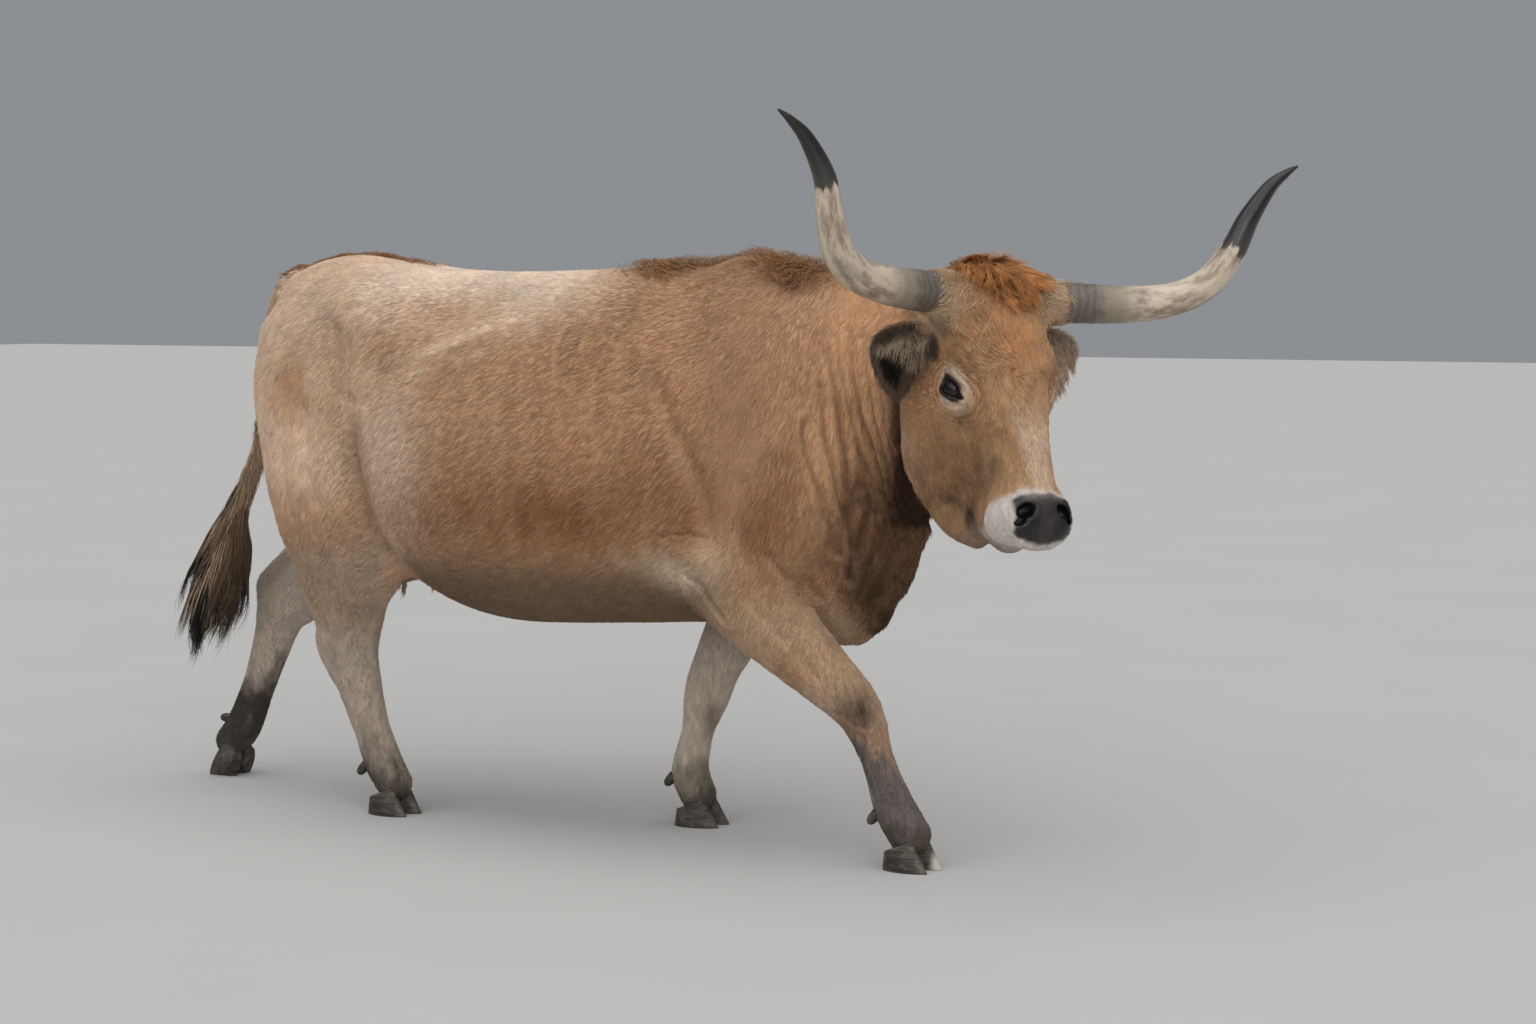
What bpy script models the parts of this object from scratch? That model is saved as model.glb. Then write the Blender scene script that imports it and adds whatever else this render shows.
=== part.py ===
"""Maraichine cow in mid stride, a still life-size model. Metres, +Z up, the cow faces +X."""
import math
import random

import bmesh
import bpy
import numpy as np
from mathutils import Matrix, Vector
from mathutils.bvhtree import BVHTree

for old in list(bpy.data.objects):
    bpy.data.objects.remove(old, do_unlink=True)

# Driving sizes
GAP = 0.0003
BODY_STEP = 0.0130
HEAD_STEP = 0.0050
MERGE = 0.00005
PINCH_ROUNDS = 6
BODY_TRIANGLES = 4880
HEAD_TRIANGLES = 4150

# Trunk sections: station x, top, bottom, half width, height of the widest level, upper and lower fullness
TRUNK = (
    (-0.870, 1.250, 1.030, 0.050, 1.140, 2.0, 2.0),
    (-0.820, 1.325, 0.900, 0.125, 1.130, 2.1, 2.0),
    (-0.740, 1.364, 0.780, 0.180, 1.130, 2.2, 2.0),
    (-0.620, 1.384, 0.690, 0.225, 1.120, 2.3, 2.0),
    (-0.500, 1.374, 0.630, 0.262, 1.060, 2.4, 2.0),
    (-0.380, 1.354, 0.562, 0.305, 0.960, 2.3, 2.1),
    (-0.240, 1.344, 0.512, 0.342, 0.890, 2.1, 2.2),
    (-0.100, 1.341, 0.489, 0.366, 0.860, 2.0, 2.2),
    (0.060, 1.344, 0.492, 0.366, 0.860, 1.95, 2.2),
    (0.220, 1.350, 0.500, 0.338, 0.870, 1.9, 2.1),
    (0.380, 1.353, 0.510, 0.285, 0.880, 1.8, 2.0),
    (0.540, 1.350, 0.520, 0.235, 0.890, 1.7, 2.0),
    (0.700, 1.300, 0.510, 0.200, 0.880, 1.8, 1.9),
    (0.840, 1.180, 0.560, 0.130, 0.860, 2.0, 2.0),
)

# Head frame: origin midway between the horn roots, turned toward the right side, face steep
HEAD_ORIGIN = np.array((1.207, -0.167, 1.273))
HEAD_YAW = -33.0
HEAD_PITCH = 61.5
HEAD_ROLL = 4.0
HEAD_SIZE = 1.025

# Skull sections down the face: station, front, back, half width, level of the widest, fullness twice
SKULL = (
    (-0.075, 0.020, -0.045, 0.050, -0.010, 2.2, 2.0),
    (-0.045, 0.044, -0.085, 0.105, -0.020, 2.4, 2.2),
    (0.000, 0.058, -0.125, 0.124, -0.030, 2.6, 2.2),
    (0.070, 0.066, -0.170, 0.118, -0.040, 2.6, 2.3),
    (0.140, 0.068, -0.230, 0.112, -0.060, 2.5, 2.4),
    (0.210, 0.064, -0.280, 0.104, -0.090, 2.3, 2.5),
    (0.280, 0.056, -0.285, 0.094, -0.100, 2.2, 2.6),
    (0.350, 0.046, -0.268, 0.080, -0.090, 2.2, 2.4),
    (0.425, 0.038, -0.226, 0.074, -0.070, 2.2, 2.2),
    (0.480, 0.037, -0.170, 0.082, -0.048, 2.3, 2.1),
    (0.522, 0.027, -0.104, 0.079, -0.034, 2.4, 2.2),
    (0.548, 0.012, -0.060, 0.062, -0.026, 2.3, 2.0),
    (0.566, -0.008, -0.034, 0.028, -0.022, 2.0, 2.0),
)

EYE_STATION = 0.195
EYE_LEVEL = -0.048
EYE_SIDE = 0.108
EYE_RADIUS = 0.0260
# Corners of the lids: distance along the opening, depth, and radii
EYE_CORNERS = ((0.030, 0.008, (0.0170, 0.0110, 0.0065)), (-0.024, 0.009, (0.0100, 0.0090, 0.0065)))
LID = 0.0055

# Hair-covered collar round each horn root, in the same terms as the horn line below
COLLAR = (
    (0.070, 0.000, 0.000, 0.058),
    (0.115, 0.004, 0.000, 0.055),
    (0.148, 0.014, 0.003, 0.051),
    (0.166, 0.020, 0.005, 0.045),
)

# Horn line: side, forward, up from the midpoint of the roots, and radius
HORN_SIDES = 9
HORN = (
    (0.105, 0.002, 0.000, 0.046),
    (0.171, 0.022, 0.005, 0.045),
    (0.288, 0.065, 0.009, 0.0415),
    (0.390, 0.107, 0.026, 0.0375),
    (0.459, 0.143, 0.068, 0.0340),
    (0.498, 0.172, 0.138, 0.0295),
    (0.525, 0.188, 0.213, 0.0240),
    (0.572, 0.192, 0.284, 0.0165),
    (0.612, 0.194, 0.318, 0.0095),
    (0.641, 0.194, 0.336, 0.0030),
)


def unit(v):
    v = np.asarray(v, float)
    return v / np.linalg.norm(v)


def head_axes():
    """Face-down, face-outward and leftward directions of the head."""
    yaw, pitch, roll = (math.radians(a) for a in (HEAD_YAW, HEAD_PITCH, HEAD_ROLL))
    ahead = np.array((math.cos(yaw), math.sin(yaw), 0.0))
    up = np.array((0.0, 0.0, 1.0))
    down_face = ahead * math.cos(pitch) - up * math.sin(pitch)
    off_face = ahead * math.sin(pitch) + up * math.cos(pitch)
    left = np.cross(up, ahead)

    def rolled(v):
        along = ahead * np.dot(ahead, v)
        return along + (v - along) * math.cos(roll) - np.cross(ahead, v) * math.sin(roll)

    return np.array([rolled(down_face), rolled(off_face), rolled(left)]), rolled(up), ahead


HEAD_AXES, HEAD_UP, HEAD_AHEAD = head_axes()


def at_head(down, out, side):
    return HEAD_ORIGIN + HEAD_AXES.T @ np.array((down, out, side)) * HEAD_SIZE


def at_horn(side, forward, up, hand):
    return HEAD_ORIGIN + HEAD_AXES[2] * side * hand + HEAD_AHEAD * forward + HEAD_UP * up


def smooth_curve(rows, count):
    """Dense rows through the given rows, by cubic interpolation."""
    rows = np.asarray(rows, float)
    n = len(rows)
    slopes = np.gradient(rows, axis=0)
    out = []
    for k in range(n - 1):
        for t in np.linspace(0, 1, count, endpoint=False):
            h00 = 2 * t ** 3 - 3 * t ** 2 + 1
            h10 = t ** 3 - 2 * t ** 2 + t
            h01 = -2 * t ** 3 + 3 * t ** 2
            h11 = t ** 3 - t ** 2
            out.append(h00 * rows[k] + h10 * slopes[k] + h01 * rows[k + 1] + h11 * slopes[k + 1])
    out.append(rows[-1])
    return np.array(out)


class Field:
    """Signed samples of a solid on a grid, negative inside."""

    def __init__(self, lo, hi, step):
        self.axes = [np.arange(a, b + step, step) for a, b in zip(lo, hi)]
        self.v = np.full([len(a) for a in self.axes], 1.0, np.float32)

    def window(self, lo, hi, margin):
        cuts = []
        for axis, a, b in zip(self.axes, lo, hi):
            i = int(np.searchsorted(axis, a - margin))
            j = int(np.searchsorted(axis, b + margin))
            cuts.append(slice(max(i, 0), max(j, 0)))
        x = self.axes[0][cuts[0]][:, None, None]
        y = self.axes[1][cuts[1]][None, :, None]
        z = self.axes[2][cuts[2]][None, None, :]
        return tuple(cuts), x, y, z

    def add(self, shape, blend):
        lo, hi, measure = shape
        cuts, x, y, z = self.window(lo, hi, blend + 0.03)
        old = self.v[cuts]
        if old.size:
            new = measure(x, y, z)
            h = np.clip(0.5 + 0.5 * (old - new) / blend, 0, 1)
            self.v[cuts] = old + (new - old) * h - blend * h * (1 - h)

    def carve(self, shape, blend):
        lo, hi, measure = shape
        cuts, x, y, z = self.window(lo, hi, blend + 0.01)
        old = self.v[cuts]
        if old.size:
            new = -measure(x, y, z)
            h = np.clip(0.5 + 0.5 * (new - old) / blend, 0, 1)
            self.v[cuts] = old + (new - old) * h + blend * h * (1 - h)

    def press(self, path, width, depth, hand):
        """Sinks one side along a path of x and z; a negative depth raises it."""
        path = np.asarray(path, float)
        low, high = path.min(0), path.max(0)
        wide = SIDE_LIMIT if hand > 0 else MIDDLE_REACH
        narrow = MIDDLE_REACH if hand > 0 else SIDE_LIMIT
        cuts, x, y, z = self.window((low[0], -narrow, low[1]), (high[0], wide, high[1]), width * PRESS_REACH)
        near = None
        for a, b in zip(path[:-1], path[1:]):
            step = b - a
            t = np.clip(((x - a[0]) * step[0] + (z - a[1]) * step[1]) / (step @ step), 0, 1)
            gap = np.hypot(x - a[0] - t * step[0], z - a[1] - t * step[1])
            near = gap if near is None else np.minimum(near, gap)
        side = np.clip(0.5 + hand * y / (2 * MIDDLE_REACH), 0, 1)
        self.v[cuts] += depth * np.exp(-(near / width) ** 2) * side


def egg(centre, radii, axes=None):
    """Ellipsoid; axes are rows along which the radii run."""
    c = np.asarray(centre, float)
    r = np.asarray(radii, float)
    m = np.eye(3) if axes is None else np.asarray(axes, float)
    reach = np.sqrt(((m * r[:, None]) ** 2).sum(0))

    def measure(x, y, z):
        dx, dy, dz = x - c[0], y - c[1], z - c[2]
        inner = 0
        outer = 0
        for k in range(3):
            q = (dx * m[k, 0] + dy * m[k, 1] + dz * m[k, 2]) / r[k]
            inner = inner + q * q
            outer = outer + (q / r[k]) ** 2
        inner = np.sqrt(inner) + 1e-6
        return inner * (inner - 1) / (np.sqrt(outer) + 1e-6)

    return c - reach, c + reach, measure


def head_egg(down, out, side, radii):
    return egg(at_head(down, out, side), np.array(radii) * HEAD_SIZE, HEAD_AXES)


def head_rod(rows):
    """Rod in head terms: rows of down, out, side, half depth and half breadth."""
    return limb([(*at_head(*row[:3]), row[3] * HEAD_SIZE, row[4] * HEAD_SIZE) for row in rows], HEAD_AXES[2])


def limb(rows, side, smooth=3):
    """Tapered rod through rows of x, y, z, half depth and half breadth; breadth runs along side."""
    rows = smooth_curve(rows, smooth)
    p = rows[:, :3]
    r = rows[:, 3:]
    side = unit(side)
    reach = r.max(1)[:, None]

    def measure(x, y, z):
        best = None
        for k in range(len(p) - 1):
            a, d = p[k], p[k + 1] - p[k]
            dx, dy, dz = x - a[0], y - a[1], z - a[2]
            t = np.clip((dx * d[0] + dy * d[1] + dz * d[2]) / (d @ d), 0, 1)
            dx, dy, dz = dx - t * d[0], dy - t * d[1], dz - t * d[2]
            s = dx * side[0] + dy * side[1] + dz * side[2]
            total = dx * dx + dy * dy + dz * dz
            deep = r[k, 0] + t * (r[k + 1, 0] - r[k, 0])
            broad = r[k, 1] + t * (r[k + 1, 1] - r[k, 1])
            q = np.sqrt(np.maximum(total - s * s, 0) / deep ** 2 + (s / broad) ** 2) + 1e-4
            near = np.sqrt(total) * (1 - 1 / q) - (q < 0.02) * 0.01
            best = near if best is None else np.minimum(best, near)
        return best

    return (p - reach).min(0), (p + reach).max(0), measure


def loft(rows, origin, axes, samples=8):
    """Body through cross sections set along the first axis, standing on the second, broad on the third."""
    rows = smooth_curve(rows, samples)
    axes = np.asarray(axes, float)
    u0, u1 = rows[0, 0], rows[-1, 0]
    corners = [origin + axes.T @ np.array((u, v, w))
               for u in (u0, u1)
               for v in (rows[:, 2].min(), rows[:, 1].max())
               for w in (-rows[:, 3].max(), rows[:, 3].max())]

    def measure(x, y, z):
        dx, dy, dz = x - origin[0], y - origin[1], z - origin[2]
        u, v, w = (dx * a[0] + dy * a[1] + dz * a[2] for a in axes)
        top, bottom, half, level, full_up, full_down = (np.interp(u, rows[:, 0], rows[:, k]) for k in range(1, 7))
        rise = v - level
        upward = rise > 0
        extent = np.where(upward, top - level, level - bottom)
        power = np.where(upward, full_up, full_down)
        across = np.abs(w) / half
        high = np.abs(rise) / extent
        q = (across ** power + high ** power) ** (1 / power) + 1e-4
        radial = np.sqrt(rise * rise + w * w) * (1 - 1 / q) - (q < 0.05) * 0.02
        return np.maximum(radial, np.maximum(u0 - u, u - u1))

    return np.min(corners, 0), np.max(corners, 0), measure


SIDEWAYS = (0.0, 1.0, 0.0)

# Folds and hollows on both sides: path of x and z, width, depth
FOLDS = (
    # Valley between the thigh and the flank fold, then the edge of the fold
    (((-0.452, 1.020), (-0.447, 0.910), (-0.432, 0.810), (-0.418, 0.715), (-0.392, 0.665)), 0.026, 0.020),
    (((-0.400, 1.000), (-0.396, 0.900), (-0.376, 0.810), (-0.366, 0.720), (-0.330, 0.655)), 0.022, -0.007),
    # Hollow before the hook bone and the edge of the last rib
    (((-0.350, 1.262), (-0.240, 1.245), (-0.150, 1.250)), 0.050, 0.020),
    (((-0.070, 1.285), (-0.104, 1.222), (-0.146, 1.168), (-0.230, 1.140)), 0.020, -0.006),
    # Front edge of the thigh muscle under the hook bone and the dip behind it
    (((-0.420, 1.300), (-0.434, 1.200), (-0.436, 1.080)), 0.020, -0.006),
    (((-0.500, 1.180), (-0.510, 1.060)), 0.035, 0.010),
    # Behind the shoulder, above the elbow, before the shoulder
    (((0.400, 1.060), (0.451, 0.954), (0.489, 0.876), (0.515, 0.808), (0.536, 0.730)), 0.028, 0.016),
    (((0.360, 0.690), (0.440, 0.700), (0.510, 0.690)), 0.024, -0.008),
    (((0.745, 0.900), (0.722, 0.800)), 0.035, 0.012),
)
# Groove between the neck and the jaw, on the side that the head is turned to
JAW_FOLD = (((1.005, 1.080), (1.000, 0.985), (0.972, 0.905), (0.972, 0.825), (0.992, 0.785)), 0.020, 0.018)
# How far a fold reaches across the middle plane, how far out, and how far past its path in widths
MIDDLE_REACH = 0.03
SIDE_LIMIT = 0.50
PRESS_REACH = 2.2


def forelimb(hand, rows, shoulder, elbow):
    """Shoulder blade, upper arm and leg of one side."""
    middle = [(a + b) / 2 for a, b in zip(shoulder, elbow)]
    return [
        (limb((
            (0.53, 0.075 * hand, 1.250, 0.100, 0.045),
            (0.61, 0.140 * hand, 1.080, 0.125, 0.052),
            (0.70, 0.172 * hand, 0.930, 0.120, 0.056),
        ), SIDEWAYS), 0.09),
        (egg(shoulder, (0.090, 0.058, 0.120)), 0.10),
        (limb((
            (shoulder[0] - 0.03, shoulder[1] * 0.97, shoulder[2] - 0.01, 0.105, 0.056),
            (*middle, 0.125, 0.068),
            (*elbow, 0.088, 0.060),
        ), SIDEWAYS), 0.08),
        (limb(rows, SIDEWAYS), 0.045),
    ]


def trunk_shapes():
    """Forms of the trunk and neck, each with the width over which it blends in."""
    upright = np.array(((1, 0, 0), (0, 0, 1), (0, 1, 0)), float)
    shapes = [(loft(TRUNK, np.zeros(3), upright), 0.02)]
    # Neck, its upper edge, and the dewlap
    shapes.append((limb((
        (0.56, 0.000, 1.080, 0.230, 0.165),
        (0.76, -0.005, 1.075, 0.235, 0.155),
        (0.93, -0.045, 1.090, 0.210, 0.135),
        (1.06, -0.095, 1.120, 0.175, 0.120),
        (1.12, -0.125, 1.150, 0.145, 0.110),
    ), SIDEWAYS), 0.08))
    shapes.append((limb((
        (0.55, 0.000, 1.300, 0.050, 0.040),
        (0.75, -0.010, 1.290, 0.045, 0.045),
        (0.95, -0.065, 1.285, 0.045, 0.050),
        (1.12, -0.130, 1.290, 0.055, 0.065),
    ), SIDEWAYS), 0.07))
    shapes.append((limb((
        (0.70, 0.000, 0.600, 0.105, 0.075),
        (0.785, 0.000, 0.540, 0.062, 0.038),
        (0.852, -0.012, 0.650, 0.085, 0.030),
        (0.898, -0.028, 0.780, 0.101, 0.034),
        (0.965, -0.062, 0.880, 0.100, 0.046),
        (1.040, -0.095, 0.960, 0.100, 0.062),
    ), SIDEWAYS), 0.06))
    for hand in (-1, 1):
        # Hook and pin bones, rump and thigh
        shapes.append((egg((-0.420, 0.205 * hand, 1.252), (0.120, 0.062, 0.058)), 0.14))
        shapes.append((egg((-0.775, 0.110 * hand, 1.180), (0.070, 0.055, 0.055)), 0.06))
        shapes.append((egg((-0.610, 0.150 * hand, 1.080), (0.215, 0.108, 0.200)), 0.06))
        shapes.append((egg((-0.650, 0.140 * hand, 0.960), (0.178, 0.108, 0.260)), 0.06))
    return shapes


def leg_shapes():
    """The four legs, near side first."""
    shapes = forelimb(-1, (
        (0.555, -0.205, 0.640, 0.105, 0.075),
        (0.665, -0.180, 0.545, 0.098, 0.072),
        (0.775, -0.142, 0.435, 0.074, 0.060),
        (0.858, -0.114, 0.345, 0.057, 0.050),
        (0.902, -0.110, 0.240, 0.040, 0.035),
        (0.946, -0.110, 0.135, 0.050, 0.045),
        (0.985, -0.110, 0.075, 0.050, 0.050),
    ), (0.745, -0.185, 0.840), (0.560, -0.205, 0.660))
    shapes += forelimb(1, (
        (0.470, 0.195, 0.660, 0.095, 0.070),
        (0.405, 0.155, 0.530, 0.084, 0.066),
        (0.345, 0.125, 0.400, 0.064, 0.056),
        (0.315, 0.120, 0.318, 0.059, 0.051),
        (0.288, 0.120, 0.225, 0.042, 0.036),
        (0.268, 0.120, 0.130, 0.049, 0.045),
        (0.290, 0.120, 0.075, 0.046, 0.048),
    ), (0.710, 0.190, 0.840), (0.480, 0.200, 0.680))
    # Near hind leg with its hamstring
    shapes.append((limb((
        (-0.520, -0.165, 0.980, 0.205, 0.105),
        (-0.540, -0.185, 0.820, 0.225, 0.095),
        (-0.532, -0.175, 0.700, 0.192, 0.082),
        (-0.562, -0.150, 0.590, 0.139, 0.068),
        (-0.570, -0.130, 0.490, 0.099, 0.056),
        (-0.574, -0.122, 0.400, 0.080, 0.046),
        (-0.545, -0.120, 0.300, 0.062, 0.042),
        (-0.512, -0.120, 0.205, 0.050, 0.039),
        (-0.478, -0.120, 0.125, 0.051, 0.045),
        (-0.445, -0.120, 0.075, 0.046, 0.048),
    ), SIDEWAYS), 0.05))
    shapes.append((limb((
        (-0.675, -0.140, 0.560, 0.026, 0.022),
        (-0.652, -0.125, 0.470, 0.024, 0.020),
        (-0.652, -0.121, 0.410, 0.028, 0.024),
        (-0.610, -0.120, 0.350, 0.026, 0.024),
    ), SIDEWAYS), 0.03))
    # Far hind leg, stretched back
    shapes.append((limb((
        (-0.540, 0.165, 0.980, 0.200, 0.105),
        (-0.610, 0.185, 0.820, 0.175, 0.095),
        (-0.700, 0.175, 0.700, 0.135, 0.080),
        (-0.820, 0.158, 0.595, 0.108, 0.066),
        (-0.920, 0.146, 0.515, 0.086, 0.054),
        (-1.000, 0.141, 0.450, 0.071, 0.046),
        (-1.045, 0.140, 0.350, 0.057, 0.042),
        (-1.090, 0.140, 0.240, 0.048, 0.039),
        (-1.140, 0.140, 0.135, 0.051, 0.046),
        (-1.180, 0.140, 0.092, 0.046, 0.048),
    ), SIDEWAYS), 0.05))
    shapes.append((limb((
        (-0.960, 0.150, 0.620, 0.026, 0.022),
        (-1.040, 0.142, 0.548, 0.024, 0.022),
        (-1.062, 0.141, 0.510, 0.028, 0.024),
        (-1.050, 0.140, 0.430, 0.024, 0.024),
    ), SIDEWAYS), 0.03))
    return shapes


def head_shapes():
    """Forms of the head with their blend widths."""
    skull = [[value * HEAD_SIZE for value in row[:5]] + list(row[5:]) for row in SKULL]
    shapes = [(loft(skull, HEAD_ORIGIN, HEAD_AXES), 0.03)]
    shapes.append((head_egg(-0.030, -0.010, 0.0, (0.050, 0.055, 0.090)), 0.03))
    # Ridge of the nose
    shapes.append((head_rod((
        (0.165, 0.032, 0.0, 0.034, 0.052),
        (0.290, 0.028, 0.0, 0.030, 0.042),
        (0.410, 0.014, 0.0, 0.027, 0.037),
        (0.485, 0.008, 0.0, 0.029, 0.045),
    )), 0.02))
    for hand in (-1, 1):
        # Horn collar
        shapes.append((limb([(*at_horn(*row[:3], hand), row[3], row[3]) for row in COLLAR], HEAD_UP), 0.03))
        # Brow, socket, temple, cheek, throat behind the jaw, jaw
        shapes.append((head_egg(0.152, -0.010, 0.084 * hand, (0.052, 0.046, 0.036)), 0.03))
        shapes.append((head_egg(0.200, -0.046, 0.090 * hand, (0.056, 0.052, 0.034)), 0.02))
        shapes.append((head_egg(0.055, -0.110, 0.076 * hand, (0.085, 0.070, 0.036)), 0.03))
        shapes.append((head_egg(0.235, -0.200, 0.074 * hand, (0.135, 0.120, 0.045)), 0.05))
        shapes.append((head_egg(0.150, -0.215, 0.084 * hand, (0.115, 0.105, 0.055)), 0.05))
        shapes.append((head_rod((
            (0.230, -0.290, 0.062 * hand, 0.040, 0.030),
            (0.325, -0.276, 0.054 * hand, 0.038, 0.026),
            (0.405, -0.238, 0.046 * hand, 0.036, 0.026),
            (0.462, -0.180, 0.034 * hand, 0.032, 0.026),
        )), 0.03))
        # Upper lip and nostril wing
        shapes.append((head_egg(0.485, -0.036, 0.052 * hand, (0.056, 0.056, 0.038)), 0.02))
        shapes.append((head_egg(0.508, 0.004, 0.040 * hand, (0.038, 0.028, 0.032)), 0.015))
        # Lids
        shapes.append((egg(at_head(EYE_STATION, EYE_LEVEL, EYE_SIDE * hand), (EYE_RADIUS + LID,) * 3), 0.010))
    # Chin
    shapes.append((head_egg(0.486, -0.120, 0.0, (0.044, 0.034, 0.048)), 0.020))
    return shapes


def lid_axes(hand):
    """Directions of an eye opening: along the lids, outward, and across."""
    along = unit(HEAD_AXES[0] * 0.82 + HEAD_AXES[1] * 0.49 - HEAD_AXES[2] * hand * 0.28)
    outward = unit(HEAD_AXES[2] * hand * 0.86 + HEAD_AXES[1] * 0.50)
    outward = unit(outward - along * np.dot(outward, along))
    return np.array((along, outward, np.cross(along, outward)))


def head_carvings():
    """Hollows of the head: mouth line, nostrils and lid openings."""
    cuts = []
    for hand in (-1, 1):
        cuts.append((head_rod((
            (0.448, -0.142, 0.080 * hand, 0.004, 0.004),
            (0.478, -0.122, 0.090 * hand, 0.005, 0.005),
            (0.515, -0.096, 0.076 * hand, 0.005, 0.005),
            (0.542, -0.074, 0.042 * hand, 0.005, 0.005),
            (0.551, -0.068, 0.000, 0.005, 0.005),
        )), 0.006))
        slant = unit(HEAD_AXES[0] * 0.55 + HEAD_AXES[2] * hand * 0.80)
        inward = unit(-HEAD_AXES[1] - HEAD_AXES[0] * 0.5)
        cross = unit(np.cross(slant, inward))
        cuts.append((egg(at_head(0.510, 0.022, 0.044 * hand), (0.017, 0.026, 0.011),
                         np.array((slant, unit(np.cross(cross, slant)), cross))), 0.006))
        axes = lid_axes(hand)
        centre = at_head(EYE_STATION, EYE_LEVEL, EYE_SIDE * hand) + axes[1] * EYE_RADIUS
        cuts.append((egg(centre, (0.0340, 0.0230, 0.0150), axes), 0.003))
        for along, sink, radii in EYE_CORNERS:
            cuts.append((egg(centre + axes[0] * along - axes[1] * sink, radii, axes), 0.003))
    return cuts


def surface_net(field):
    """Closed quad mesh of the zero level: one point per crossed cell, one quad per crossed edge."""
    v = field.v
    inside = v < 0
    n = np.array(v.shape)
    corners = [inside[i:n[0] - 1 + i, j:n[1] - 1 + j, k:n[2] - 1 + k]
               for i in (0, 1) for j in (0, 1) for k in (0, 1)]
    total = sum(c.astype(np.int8) for c in corners)
    active = (total > 0) & (total < 8)
    index = np.full(active.shape, -1, np.int64)
    index[active] = np.arange(active.sum())
    cell = np.argwhere(active)
    places = np.zeros((len(cell), 3))
    hits = np.zeros(len(cell))
    for axis in range(3):
        others = [a for a in range(3) if a != axis]
        for p in (0, 1):
            for q in (0, 1):
                start = cell.copy()
                start[:, others[0]] += p
                start[:, others[1]] += q
                end = start.copy()
                end[:, axis] += 1
                a = v[tuple(start.T)]
                b = v[tuple(end.T)]
                crossed = (a < 0) != (b < 0)
                t = np.where(crossed, a / np.where(crossed, a - b, 1), 0)
                point = np.stack([field.axes[k][start[:, k]] for k in range(3)], 1)
                point[:, axis] += t * (field.axes[axis][end[:, axis]] - field.axes[axis][start[:, axis]])
                places += point * crossed[:, None]
                hits += crossed
    places /= hits[:, None]
    faces = []
    for axis in range(3):
        b, c = (axis + 1) % 3, (axis + 2) % 3
        low = [slice(None)] * 3
        high = [slice(None)] * 3
        low[axis] = slice(0, -1)
        high[axis] = slice(1, None)
        edge = np.argwhere(inside[tuple(low)] != inside[tuple(high)])
        edge = edge[(edge[:, b] > 0) & (edge[:, c] > 0) & (edge[:, b] < n[b] - 1) & (edge[:, c] < n[c] - 1)]
        ring = []
        for db, dc in ((1, 1), (0, 1), (0, 0), (1, 0)):
            at = edge.copy()
            at[:, b] -= db
            at[:, c] -= dc
            ring.append(index[tuple(at.T)])
        quad = np.stack(ring, 1)
        flip = ~inside[tuple(edge.T)]
        quad[flip] = quad[flip][:, ::-1]
        faces.append(quad)
    return places, np.concatenate(faces)


def new_object(name, places, faces):
    mesh = bpy.data.meshes.new(name)
    mesh.from_pydata([tuple(p) for p in places], [], [tuple(int(i) for i in f) for f in faces])
    mesh.validate()
    made = bpy.data.objects.new(name, mesh)
    bpy.context.collection.objects.link(made)
    return made


def read_mesh(thing):
    bm = bmesh.new()
    bm.from_mesh(thing.data)
    return bm


def write_mesh(bm, thing):
    bm.to_mesh(thing.data)
    bm.free()
    thing.data.update()


def copy_of(thing, name):
    twin = thing.copy()
    twin.data = thing.data.copy()
    twin.name = name
    twin.data.name = name
    bpy.context.collection.objects.link(twin)
    return twin


def remove(thing):
    mesh = thing.data
    bpy.data.objects.remove(thing, do_unlink=True)
    bpy.data.meshes.remove(mesh)


def settle(thing):
    """Bakes the modifiers of an object into its mesh."""
    bpy.context.view_layer.update()
    graph = bpy.context.evaluated_depsgraph_get()
    baked = bpy.data.meshes.new_from_object(thing.evaluated_get(graph))
    thing.modifiers.clear()
    old = thing.data
    thing.data = baked
    bpy.data.meshes.remove(old)
    baked.name = thing.name


def unpinch(bm):
    """Collapses the edges that more than two faces share, which thinning can leave."""
    for _ in range(PINCH_ROUNDS):
        pinched = [e for e in bm.edges if len(e.link_faces) > 2]
        if not pinched:
            return
        bmesh.ops.collapse(bm, edges=pinched)
        bmesh.ops.dissolve_degenerate(bm, edges=bm.edges, dist=MERGE)


def keep_largest(thing):
    """Keeps the closed surface with the most volume and drops slivers."""
    bm = read_mesh(thing)
    bmesh.ops.remove_doubles(bm, verts=bm.verts, dist=MERGE)
    bmesh.ops.dissolve_degenerate(bm, edges=bm.edges, dist=MERGE)
    unpinch(bm)
    bm.verts.ensure_lookup_table()
    seen = set()
    groups = []
    for start in bm.verts:
        if start.index in seen:
            continue
        seen.add(start.index)
        stack = [start]
        group = []
        while stack:
            vert = stack.pop()
            group.append(vert)
            for edge in vert.link_edges:
                other = edge.other_vert(vert)
                if other.index not in seen:
                    seen.add(other.index)
                    stack.append(other)
        groups.append(group)
    if len(groups) > 1:
        groups.sort(key=lambda g: -spread(g))
        for group in groups[1:]:
            bmesh.ops.delete(bm, geom=group, context='VERTS')
    bmesh.ops.triangulate(bm, faces=bm.faces)
    bmesh.ops.recalc_face_normals(bm, faces=bm.faces)
    write_mesh(bm, thing)


def spread(group):
    """Volume of the box round a group of vertices."""
    spans = [max(v.co[k] for v in group) - min(v.co[k] for v in group) for k in range(3)]
    return spans[0] * spans[1] * spans[2]


def thin_out(thing, triangles):
    """Collapses edges until about the given number of triangles is left."""
    now = sum(len(p.vertices) - 2 for p in thing.data.polygons)
    if now > triangles:
        fewer = thing.modifiers.new("fewer", 'DECIMATE')
        fewer.ratio = triangles / now
        fewer.use_collapse_triangulate = True
        settle(thing)
    keep_largest(thing)


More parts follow.
